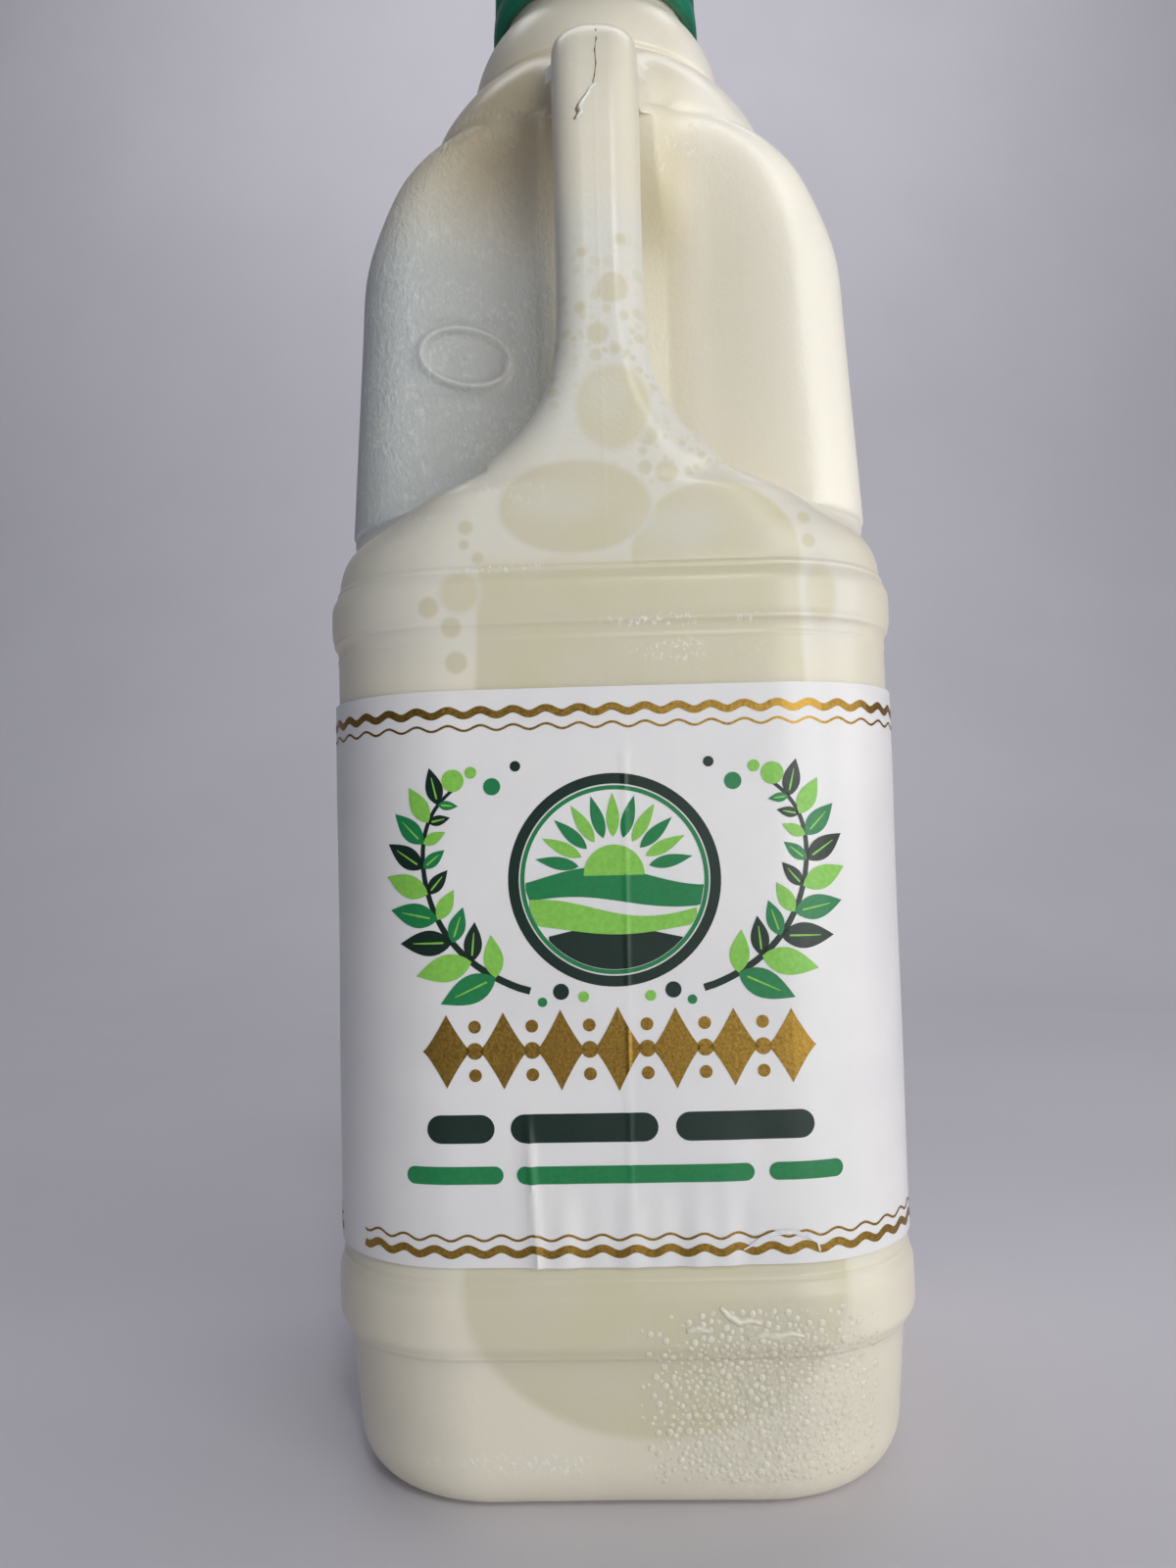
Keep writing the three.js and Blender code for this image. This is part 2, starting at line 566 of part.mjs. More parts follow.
function named(name, geometry, finish) {
  const mesh = new THREE.Mesh(geometry, finish);
  mesh.name = name;
  return mesh;
}

const bottle = makeBottle();
const jug = new THREE.Group();
jug.add(
  named("bottle", geometryFrom(bottle), material(0xe4ddc8, 0.38)),
  named("milk", makeMilk(), material(0xf4efdf, 0.3)),
  named("label", makeLabel(), material(0xf2f1f4, 0.45)),
  named("cap", makeCap(), material(0x0b7a55, 0.4)),
);

export default jug;
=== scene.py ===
"""Dresses the packed milk jug: a smooth plastic body full of milk, its wrinkled label and its screw cap.

Sizes are in millimetres in the row frame (+Z up, the grip towards -Y) until a mesh is made.
"""

import math

import bpy
import numpy as np
from bpy.props import FloatProperty, FloatVectorProperty, IntProperty, PointerProperty
from mathutils import Matrix, Vector
from mathutils.bvhtree import BVHTree


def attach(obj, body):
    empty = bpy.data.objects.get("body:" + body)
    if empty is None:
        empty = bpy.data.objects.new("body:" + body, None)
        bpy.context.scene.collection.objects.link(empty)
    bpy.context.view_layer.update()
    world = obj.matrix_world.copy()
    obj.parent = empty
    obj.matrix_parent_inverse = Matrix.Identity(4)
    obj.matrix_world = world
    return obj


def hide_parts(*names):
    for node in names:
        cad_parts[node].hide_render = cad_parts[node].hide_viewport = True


bl_info = {
    "name": "Milk jug dressing",
    "version": (1, 0, 0),
    "blender": (4, 5, 0),
    "location": "View3D > Sidebar > Milk jug",
    "description": "Builds the visible body, label and cap of a plastic milk jug round its CAD frame",
    "category": "Object",
}

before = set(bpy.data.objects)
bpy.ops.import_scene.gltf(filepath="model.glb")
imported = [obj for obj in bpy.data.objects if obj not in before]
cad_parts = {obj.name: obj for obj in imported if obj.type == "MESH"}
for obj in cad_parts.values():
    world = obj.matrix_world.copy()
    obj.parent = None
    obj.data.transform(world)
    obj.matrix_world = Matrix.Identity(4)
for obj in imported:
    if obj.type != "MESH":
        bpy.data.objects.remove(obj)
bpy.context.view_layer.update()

MM = 0.001
RAY_START = 0.2

# Body sizes, the same as the part's but for the lips and the narrower corners of the grip's top
HALF_WIDTH = 46.2
HALF_DEPTH = 51.7
CORNER = 22.0
FACE_CROWN = 0.8
FIT_GAP = 0.3
BASE_ROUND = 9.0
BASE_PUSH_UP = 3.5
FOOT_INSET = 8.0
FOOT_WIDTH = 5.0
SKIRT_INSET = 0.9
BAND_RISE = 0.85
LOWER_BAND = (23.2, 36.4)
UPPER_BAND = (132.6, 143.6)
BAND_EDGE = 3.6
SHOULDER_INSET = 0.35
LIPS = ((143.0, 0.2), (134.3, 0.22), (131.9, 0.12), (35.6, 0.16), (24.4, 0.14))
LIP_REACH = 0.32
FOOT_TAPER = 0.9
LABEL = (38.0, 124.2)
LABEL_THICKNESS = 0.35
GRIP_FRONT = -51.9
GRIP_HALF_WIDTH = 7.0
GRIP_DEPTH = 15.5
GRIP_ROUND = 4.5
GRIP_RUN = 0.8
LOBE_START = 144.0
LOBE_SIDE_ROUND = 12.0
LOBE_ROUND = 6.0
LOBE_RUN = 5.0
LOBE_EDGE = (
    (138, 98), (144, 74), (148, 57), (151.4, 43.6), (152.6, 40.2), (154.6, 34.9), (156, 31.2),
    (156.9, 28.1), (157.8, 25.1), (159, 22), (160.9, 18.9), (163, 16.1), (165, 13.9), (168.4, 11.1),
    (173, 8.8), (178.5, 7.5), (185, GRIP_HALF_WIDTH), (229, GRIP_HALF_WIDTH), (231.5, 6.75),
    (233.2, 6.2), (234.6, 5.6), (236, 5.2), (238, 4.9), (242, 4.7),
)
GRIP_TOP = (
    (216, GRIP_FRONT), (222.5, -51.5), (228, -50), (231.8, -47.8), (234.3, -45.2), (236.2, -42),
    (237.6, -38.6), (238.7, -35.2), (239.8, -31.6), (242, -27),
)
HOLE = (165.5, 227.0)
HOLE_POWER = 3.2
TUNNEL_SAG = 0.6
GRIP_BACK_BULGE = 1.9
FILLET = 5.0
UPPER_HALF_WIDTH = 46.2
UPPER_TAPER = 0.059
RECESS_WALL = ((195, -23), (212, -24), (224, -27), (233, -30), (241, -30.6))
SCOOP = 10.0
SCOOP_FLAT = 12.0
RECESS_CORNER = 10.0
BACK_DEPTH = HALF_DEPTH - UPPER_HALF_WIDTH
LOWER_DOME = (205, 43.8, 44.7, 1.54)
UPPER_DOME = (234, 18, 31.35, 2)
COLLAR = (245.1, 22.5, 24.85, 2)
NOTCH = 229.9
NOTCH_DEPTH = 0.5
NOTCH_REACH = 1.6
CREASE = 245.6
ROUND_ABOVE = 241.0
NECK_RADIUS = 18.2
NECK_START = 261.1
NECK_TOP = 274.8
CAP_RADIUS = 20.5
CAP_BOTTOM = 261.4
CAP_TOP = 277.5
CAP_BORE = NECK_RADIUS + 0.4
RING_TOP = 265.7
RING_GROOVE = 0.7
RIBS = 27
RIB_DEPTH = 0.55

# Heights between which a form fades out or turns round
FRONT_ROUNDS = (221, ROUND_ABOVE)
BACK_ROUNDS = (204, ROUND_ABOVE - 1)
SCOOP_ENDS = (203, 237)
CROWN_ENDS = (200, ROUND_ABOVE)
COLUMNS_EVEN_OUT = (243, NECK_START)
LOBE_BEGINS = (LOBE_START + 2, LOBE_START + 16)
HOLE_BACK_RISES = (HOLE[1] - 18, HOLE[1] - 2)

# Half-widths of the lobe between which the grip's edges and its face turn into the lobe's
EDGES_WIDEN = (9, 26)
FACE_WIDENS = (9, 22)

# Where the camera stood, fitted to the jug's outlines
CAMERA_AT = (1.6, -231.8, 99.4)
CAMERA_PITCH = 3.21
CAMERA_YAW = -1.67
CAMERA_ROLL = -1.41
FOCAL_PIXELS = 1210.0
FRAME_HEIGHT = 1600.0
SENSOR = 36.0

# Columns of half the body's plan
SEAM_COLUMNS = (0.0, 0.3, 0.75)
LOBE_STEPS = 5
EDGE_ANGLES = (14, 28, 42, 54, 66, 78, 90)
WALL_STEPS = 7
CORNER_STEPS = 7
SIDE_STEPS = 4
BACK_CORNER_STEPS = 9
BACK_STEPS = 6
TUNNEL_STEPS = 12
BASE_STEPS = 9

# Most of the room beside the lobe that its rounded edge and its fillet take up together
EDGE_ROOM = 0.62

# Rings inside the foot: how much further in, and their share of the push-up's height
PUSH_UP_EDGE = ((6, 0.92), (2.6, 0.45))

# Shares of the depth between the lobe or grip and the recess wall
EDGE_SHARE = 0.42
GRIP_BACK_SHARE = 0.86

# How far forward the columns behind the grip stand where the finger hole narrows, as shares of that depth
HOLE_BACK_FORWARD = 0.2
HOLE_EDGE_FORWARD = (0.024, 0.012, 0.006)
WALL_FORWARD = (0.09, 0.025)


def srgb(red, green, blue):
    """A colour read off a screen, 0 to 255, as the linear values that a shader takes."""
    def linear(value):
        part = value / 255
        return part / 12.92 if part <= 0.04045 else ((part + 0.055) / 1.055) ** 2.4
    return (linear(red), linear(green), linear(blue))


def clamp01(t):
    """The value kept between 0 and 1."""
    return min(1.0, max(0.0, t))


def smooth(low, high, value):
    """0 up to low and 1 from high on, with a soft rise between."""
    t = clamp01((value - low) / (high - low))
    return t * t * (3 - 2 * t)


def mix(a, b, t):
    """The value a share t of the way from a to b."""
    return a + (b - a) * t


def curve_through(pairs, at):
    """The value at a point of a smooth curve through (point, value) pairs, level beyond its ends."""
    if at <= pairs[0][0]:
        return pairs[0][1]
    last = len(pairs) - 1
    if at >= pairs[last][0]:
        return pairs[last][1]
    i = next(k for k, pair in enumerate(pairs) if pair[0] > at) - 1

    def slope(k):
        a, b = pairs[max(0, k - 1)], pairs[min(last, k + 1)]
        return (b[1] - a[1]) / (b[0] - a[0])

    (x0, y0), (x1, y1) = pairs[i], pairs[i + 1]
    h = x1 - x0
    t = (at - x0) / h
    return ((2 * t**3 - 3 * t**2 + 1) * y0 + (t**3 - 2 * t**2 + t) * h * slope(i)
            + (3 * t**2 - 2 * t**3) * y1 + (t**3 - t**2) * h * slope(i + 1))


def oval_at(dome, z):
    """Half-width at height z of an oval of (centre height, semi-height, semi-width, power)."""
    centre, height, width, power = dome
    t = max(0.0, z - centre) / height
    return width * max(0.0, 1 - t**power) ** (1 / power)


def rise(z, plain):
    """How far the lower body stands out from the label panel at height z."""
    skirt = (-SKIRT_INSET * (1 - smooth(LOWER_BAND[0] - 2, LOWER_BAND[0] + BAND_EDGE, z))
             - FOOT_TAPER * (1 - smooth(6, LOWER_BAND[0], z)))
    shoulder = -SHOULDER_INSET * smooth(UPPER_BAND[1] - BAND_EDGE, UPPER_BAND[1] + 2, z)
    if plain:
        return skirt + shoulder
    bands = sum(BAND_RISE * smooth(low, low + BAND_EDGE, z) * (1 - smooth(high - BAND_EDGE, high, z))
                for low, high in (LOWER_BAND, UPPER_BAND))
    return skirt + shoulder + lip(z) + bands


def lip(z):
    """Fine raised lines along the bands' edges."""
    return sum(height * math.exp(-((z - at) / LIP_REACH) ** 2) for at, height in LIPS)


def dome_radius(z):
    """Half-width of the upper body at height z: two domes with a notch between, then the collar."""
    if z > CREASE:
        return max(oval_at(COLLAR, z), NECK_RADIUS + 0.1)
    notch = NOTCH_DEPTH * max(0.0, 1 - abs(z - NOTCH) / NOTCH_REACH)
    if z > NOTCH:
        return oval_at(UPPER_DOME, z) - notch
    return oval_at(LOWER_DOME, z) + UPPER_TAPER * max(0.0, LOWER_DOME[0] - z) - notch


def plan(z, plain=False):
    """The sizes of the body's plan at height z."""
    low = rise(z, plain)
    dome = dome_radius(z)
    upper = smooth(LOBE_START, LOBE_START + 12, z)
    side_round = min(LOBE_SIDE_ROUND, max(0.0, z - LOBE_START))
    side_drop = LOBE_SIDE_ROUND - math.sqrt(LOBE_SIDE_ROUND**2 - side_round**2)
    lobe_half = curve_through(LOBE_EDGE, z)
    slant = curve_through(LOBE_EDGE, z + 0.5) - curve_through(LOBE_EDGE, z - 0.5)
    on_lobe = smooth(*EDGES_WIDEN, lobe_half)
    return {
        "half_width": mix(HALF_WIDTH + low, dome, upper),
        "back": mix(HALF_DEPTH + low, dome + BACK_DEPTH, upper),
        "front_circle": smooth(*FRONT_ROUNDS, z),
        "back_circle": smooth(*BACK_ROUNDS, z),
        "even": smooth(*COLUMNS_EVEN_OUT, z),
        "lobe_front": -(HALF_DEPTH + low),
        "lobe_width": HALF_WIDTH + low - min(4.0, side_drop),
        "grip_front": curve_through(GRIP_TOP, z),
        "wall": curve_through(RECESS_WALL, z),
        "scoop": SCOOP * (1 - smooth(*SCOOP_ENDS, z)),
        "crown": FACE_CROWN * (1 - smooth(*CROWN_ENDS, z)),
        "lobe_half": lobe_half,
        "stretch": math.hypot(1, slant),
        "round": mix(GRIP_ROUND, LOBE_ROUND, on_lobe),
        "run": mix(GRIP_RUN, LOBE_RUN, on_lobe),
    }


def front_line(x, face, corner, half, crown):
    """Y of a front face with rounded corners and a slight bow."""
    past = x - (half - corner)
    bow = crown * (1 - clamp01(x / half) ** 2)
    if past <= 0:
        return face - bow
    return face - bow + corner - math.sqrt(max(0.0, corner * corner - min(past, corner) ** 2))


def drop_at(d, depth, round_, run):
    """How far back the surface has gone, out of depth, at distance d outside the lobe's or grip's edge."""
    round_y = min(round_, EDGE_SHARE * depth)
    fillet_y = min(FILLET, EDGE_SHARE * depth)
    if d <= -round_:
        return 0.0
    if d < 0:
        return round_y * (1 - math.sqrt(1 - ((d + round_) / round_) ** 2))
    if d < run:
        return mix(round_y, depth - fillet_y, d / run)
    t = min(1.0, (d - run) / FILLET)
    return depth - fillet_y + fillet_y * math.sqrt(1 - (1 - t) ** 2)


def hole_state(z):
    """(how open the finger hole is at height z, how near z is to it, how far its back has come forward)."""
    middle = (HOLE[0] + HOLE[1]) / 2
    along = min(1.0, abs(z - middle) / ((HOLE[1] - HOLE[0]) / 2))
    open_ = max(0.0, 1 - along**HOLE_POWER) ** (1 / HOLE_POWER)
    near = smooth(HOLE[0] - 6, HOLE[0], z) * (1 - smooth(HOLE[1], HOLE[1] + 6, z))
    pinch = max(1 - smooth(0.02, 0.5, open_), smooth(*HOLE_BACK_RISES, z))
    return open_, near, near * pinch


def front_columns(p, pinch):
    """The x of each column of the front half-plan, and the index of the grip's back edge."""
    edge_start = max(2.0, min(p["lobe_half"], 50) - p["round"] * min(p["stretch"], 2.5))
    room = p["half_width"] - edge_start
    widths = [w * p["stretch"] for w in (p["round"], p["run"], FILLET)]
    spread = min(1.0, EDGE_ROOM * room / sum(widths))
    round_, run, fillet = (w * spread for w in widths)
    xs = [min(x, 0.4 * edge_start * (k + 1) / 3) if k else 0.0 for k, x in enumerate(SEAM_COLUMNS)]
    xs += [mix(xs[-1], edge_start, (i + 1) / LOBE_STEPS) for i in range(LOBE_STEPS)]
    xs += [edge_start + round_ * math.sin(math.radians(a)) for a in EDGE_ANGLES]
    grip_back = len(xs)
    edge = edge_start + round_
    xs += [edge + run * 0.5, edge + run]
    xs += [edge + run + fillet * mix(1, 0.5, pinch) * s for s in (0.33, 0.66, 1)]
    wall_start = xs[-1]
    corner_start = max(p["half_width"] - RECESS_CORNER, mix(wall_start, p["half_width"], 0.2))
    xs += [mix(wall_start, corner_start, (i + 1) / WALL_STEPS) for i in range(WALL_STEPS)]
    xs += [mix(corner_start, p["half_width"], math.sin((i + 1) / CORNER_STEPS * math.pi / 2))
           for i in range(CORNER_STEPS)]
    return xs, grip_back


def lobe_line(p, x):
    """(x, y) of the lobe's or the grip's front face at a column's x."""
    grip = max(p["grip_front"], p["lobe_front"] - p["crown"])
    narrowed = x - (p["half_width"] - p["lobe_width"]) * smooth(20, p["half_width"], x)
    wide = front_line(narrowed, p["lobe_front"], CORNER, p["lobe_width"], p["crown"])
    return narrowed, mix(grip, wide, smooth(*FACE_WIDENS, p["lobe_half"]))


def wall_line(p, x):
    """Y of the recess wall at x, which turns into the neck's circle higher up."""
    half = p["half_width"]
    scooped = p["scoop"] * (1 - smooth(SCOOP_FLAT, half - RECESS_CORNER * 0.8, x))
    flat = front_line(x, p["wall"], RECESS_CORNER, half, 0) + scooped
    return mix(flat, -math.sqrt(max(0.0, half**2 - x * x)), p["front_circle"])


def even_columns(half, count):
    """The x of the columns where the front has no lobe yet: spread over its flat face and its corner."""
    last = count - 1
    flat_steps = round(last * 0.3)
    first = len(SEAM_COLUMNS) - 1
    xs = list(SEAM_COLUMNS)
    for i in range(len(SEAM_COLUMNS), count):
        if i <= flat_steps:
            xs.append(mix(SEAM_COLUMNS[-1], half - CORNER, (i - first) / (flat_steps - first)))
        else:
            turn = (i - flat_steps) / (last - flat_steps) * math.pi / 2
            xs.append(half - CORNER + CORNER * math.sin(turn))
    return xs


def share_near_hole(behind, share, depth, hole):
    """A column's share of the depth, changed at the finger hole; behind counts from the grip's back edge."""
    open_, near, pinch = hole
    before_fillet = 1 - min(FILLET, EDGE_SHARE * depth) / depth
    hole_back = 1 - HOLE_BACK_FORWARD * pinch
    edges = len(HOLE_EDGE_FORWARD)
    if behind == 0:
        grip_back = mix(GRIP_BACK_SHARE * before_fillet, GRIP_DEPTH / depth, open_)
        return mix(share, max(share, grip_back), near)
    if 1 <= behind <= edges:
        held = min(max(share, before_fillet), hole_back - HOLE_EDGE_FORWARD[behind - 1] * pinch)
        return mix(share, held, near)
    if behind == edges + 1:
        return mix(share, hole_back, near)
    if edges + 2 <= behind < edges + 2 + len(WALL_FORWARD):
        return min(share, 1 - WALL_FORWARD[behind - edges - 2] * pinch)
    return share


def front_points(z, p):
    """The front half of the plan at height z, from the middle to the side."""
    hole = hole_state(z)
    xs, grip_back = front_columns(p, hole[2])
    featured = smooth(*LOBE_BEGINS, z)
    points = []
    for i, (x, even) in enumerate(zip(xs, even_columns(p["half_width"], len(xs)))):
        at = mix(even, x, featured)
        lobe_x, lobe_y = lobe_line(p, at)
        wall_y = wall_line(p, at)
        depth = max(0.001, wall_y - lobe_y)
        share = drop_at((at - p["lobe_half"]) / p["stretch"], depth, p["round"], p["run"]) / depth
        share = share_near_hole(i - grip_back, share, depth, hole)
        points.append((mix(lobe_x, at, share), mix(min(lobe_y, wall_y), wall_y, share)))
    return points


def hole_columns():
    """First and last column of the finger hole in the half-plan."""
    first = len(SEAM_COLUMNS) + LOBE_STEPS + len(EDGE_ANGLES)
    return first, first + 4


def half_plan(z, plain=False):
    """Half of the plan at height z as (x, y, z), from the front's middle round to the back's middle."""
    p = plan(z, plain)
    front = front_points(z, p)
    side_x, side_y = front[-1]
    corner = min(CORNER + 2, 0.9 * side_x)
    side_end = p["back"] - corner
    rear = [(side_x, mix(side_y, side_end, (i + 1) / SIDE_STEPS)) for i in range(SIDE_STEPS)]
    for i in range(BACK_CORNER_STEPS):
        a = (i + 1) / BACK_CORNER_STEPS * math.pi / 2
        rear.append((side_x - corner * (1 - math.cos(a)), side_end + corner * math.sin(a)))
    back_start = rear[-1][0]
    last = SEAM_COLUMNS[-1]
    rear += [(mix(back_start, last, (i + 1) / BACK_STEPS), p["back"]) for i in range(BACK_STEPS)]
    rear += [(x, p["back"]) for x in reversed(SEAM_COLUMNS[:-1])]
    radius = p["half_width"]
    points = list(front)
    for x, y in rear:
        a = math.atan2(x, -y)
        points.append((mix(x, radius * math.sin(a), p["back_circle"]),
                       mix(y, -radius * math.cos(a), p["back_circle"])))
    total = len(points) - 1
    ring = []
    for i, (x, y) in enumerate(points):
        if p["even"] > 0:
            a = mix(math.atan2(x, -y), math.pi * i / total, p["even"])
            x, y = radius * math.sin(a), -radius * math.cos(a)
        ring.append((0.0 if i in (0, total) else x, y, z))
    return ring


def inset_ring(ring, inset, z):
    """A ring moved in towards the Z axis and put at another height."""
    moved = []
    for x, y, _ in ring:
        shrink = 1 - inset / math.hypot(x, y)
        moved.append((x * shrink, y * shrink, z))
    return moved


def circle_ring(count, radius, z):
    """Half a circle of points round the Z axis, from the front's middle to the back's middle."""
    return [(0.0 if i in (0, count) else radius * math.sin(math.pi * i / count),
             -radius * math.cos(math.pi * i / count), z) for i in range(count + 1)]


def body_heights():
    """Heights of the body's rows, close together where the outside changes."""
    rows = list(np.arange(10.5, 20, 2.2))
    for low, high in (LOWER_BAND, UPPER_BAND):
        rows += [low - 1.6] + list(np.linspace(low, low + BAND_EDGE, 6)) + [(low + high) / 2]
        rows += list(np.linspace(high - BAND_EDGE, high, 6)) + [high + 0.8, high + 1.6]
    rows += [at + step for at, _ in LIPS for step in (-0.55, -0.28, 0.0, 0.28, 0.55)]
    rows += [37.6, 40, 60, 80, 100, 122, 125, 128]
    rows += list(np.arange(146, 164.6, 0.8))
    rows += [HOLE[0] - 0.35, HOLE[0], 165.62, 165.9, 166.35, 167, 168, 169.3, 171, 173, 175.5]
    rows += list(np.arange(178.5, 212, 4.0)) + [213.5, 216, 218, 220, 221.8, 223.3, 224.6, 225.7]
    rows += [226.4, HOLE[1], 228.0]
    rows += [NOTCH - 0.9, NOTCH - 0.4, NOTCH, NOTCH + 0.4, NOTCH + 0.9, NOTCH + 1.7]
    rows += list(np.arange(232.6, 243.9, 0.85)) + [244.4, 245.1, CREASE]
    rows += [CREASE + 0.3, 246.6, 248.2, 250, 251.8, 253.6, 255.4, 257, 258.2, 259.2, 260, 260.7]
    rows = sorted(set(round(float(z), 4) for z in rows))
    return [z for i, z in enumerate(rows) if i == 0 or z - rows[i - 1] > 0.02]


def body_rows():
    """The body's half-rings from the middle of its underside up to the neck's top."""
    side = half_plan(BASE_ROUND)
    rows = [inset_ring(side, 44, BASE_PUSH_UP), inset_ring(side, 30, BASE_PUSH_UP)]
    foot = FOOT_INSET + FOOT_WIDTH
    rows += [inset_ring(side, foot + further, BASE_PUSH_UP * share) for further, share in PUSH_UP_EDGE]
    rows += [inset_ring(side, foot + 0.6, 0.05), inset_ring(side, foot, 0), inset_ring(side, foot - 1.5, 0)]
    rows += [inset_ring(side, FOOT_INSET, 0)]
    for i in range(1, BASE_STEPS):
        a = i / BASE_STEPS * math.pi / 2
        rows.append(inset_ring(side, FOOT_INSET * (1 - math.sin(a)), BASE_ROUND * (1 - math.cos(a))))
    rows.append(side)
    rows += [half_plan(z) for z in body_heights() if z > BASE_ROUND]
    count = len(rows[0]) - 1
    neck = (NECK_START, NECK_START + 0.6, NECK_TOP - 0.5, NECK_TOP)
    rows += [circle_ring(count, NECK_RADIUS, z) for z in neck]
    return rows


def row_at(rows, z):
    """The number of the row at height z."""
    return next(i for i, ring in enumerate(rows) if abs(ring[0][2] - z) < 1e-6)


def raise_seam(rows, height, low, high):
    """Lifts the middle column, front and back, into the fine ridge of the mould's parting line."""
    for ring in rows:
        if low <= ring[0][2] <= high:
            x, y, z = ring[0]
            ring[0] = (x, y - height, z)
            x, y, z = ring[-1]
            ring[-1] = (x, y + height, z)


def hole_loop(hole):
    """The (row, column) of each point round the finger hole's mouth."""
    r0, r1, c0, c1 = hole
    return ([(r, c0) for r in range(r0, r1)] + [(r1, c) for c in range(c0, c1)]
            + [(r, c1) for r in range(r1, r0, -1)] + [(r0, c) for c in range(c1, c0, -1)])


def tunnel_strip(points, first, last, on_grip, sag_side):
    """The numbers of a line of points through the tunnel from mouth to mouth, the ones between added."""
    x, y, z = points[first]
    fullness = smooth(0, 0.5, hole_state(z)[0]) if on_grip else 0.0
    strip = [first]
    for i in range(1, TUNNEL_STEPS):
        across = math.cos(math.pi * i / TUNNEL_STEPS)
        arch = 1 - across * across
        points.append((x * across, y + GRIP_BACK_BULGE * math.sqrt(arch) * fullness,
                       z + sag_side * TUNNEL_SAG * arch))
        strip.append(len(points) - 1)
    return strip + [last]


def mirrored_body(rows, hole):
    """Points and faces of a closed body from rows of half-rings, with a tunnel through both sides."""
    columns = len(rows[0]) - 1
    around = 2 * columns
    points = []
    for ring in rows:
        points += ring
        points += [(-x, y, z) for x, y, z in ring[-2:0:-1]]
    r0, r1, c0, c1 = hole

    def at(row, column):
        return row * around + column % around

    def in_hole(row, column):
        c = column if column < columns else around - 1 - column
        return r0 <= row < r1 and c0 <= c < c1

    faces = [(at(r, c), at(r, c + 1), at(r + 1, c + 1), at(r + 1, c))
             for r in range(len(rows) - 1) for c in range(around) if not in_hole(r, c)]
    strips = [tunnel_strip(points, at(r, c), at(r, -c), c == c0, (r == r1) - (r == r0))
              for r, c in hole_loop(hole)]
    for strip, following in zip(strips, strips[1:] + strips[:1]):
        faces += [(strip[i], strip[i + 1], following[i + 1], following[i]) for i in range(TUNNEL_STEPS)]
    faces.append(tuple(at(0, c) for c in range(around - 1, -1, -1)))
    faces.append(tuple(at(len(rows) - 1, c) for c in range(around)))
    return points, faces


def ring_band(low, high, count):
    """Faces between two closed rings of count points, whose first points have the numbers low and high."""
    return [(low + c, low + (c + 1) % count, high + (c + 1) % count, high + c) for c in range(count)]


def grid_faces(rows, across, start=0):
    """Faces of an open grid of points, numbered row after row with across points in each."""
    return [(a, a + 1, a + across + 1, a + across)
            for r in range(rows - 1) for a in range(start + r * across, start + (r + 1) * across - 1)]


def new_piece(name, points, faces, material, smooth_faces=True):
    """A mesh piece from points in millimetres, riding on the one body, with unused points left out."""
    used = sorted({v for face in faces for v in face})
    renumber = {v: i for i, v in enumerate(used)}
    mesh = bpy.data.meshes.new(name)
    mesh.from_pydata([tuple(c * MM for c in points[v]) for v in used], [],
                     [tuple(renumber[v] for v in face) for face in faces])
    mesh.update()
    if smooth_faces:
        mesh.polygons.foreach_set("use_smooth", [True] * len(mesh.polygons))
    mesh.materials.append(material)
    piece = bpy.data.objects.new(name, mesh)
    bpy.context.scene.collection.objects.link(piece)
    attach(piece, "root")
    return piece


def subdivide(piece, levels):
    """Smooths a piece with a subdivision modifier."""
    modifier = piece.modifiers.new("smooth skin", "SUBSURF")
    modifier.levels = levels
    modifier.render_levels = levels


def surface_tree(piece):
    """A search tree of a piece's finished mesh, in metres."""
    return BVHTree.FromObject(piece, bpy.context.evaluated_depsgraph_get())


def touch(tree, x, z):
    """(point, normal) in millimetres where a line from the front through x, z first meets the surface."""
    hit, normal, _, _ = tree.ray_cast(Vector((x * MM, -RAY_START, z * MM)), Vector((0, 1, 0)))
    if hit is None:
        raise RuntimeError(f"no surface at x {x:.1f}, z {z:.1f}")
    return np.array(hit) / MM, np.array(normal)


# Shader helpers

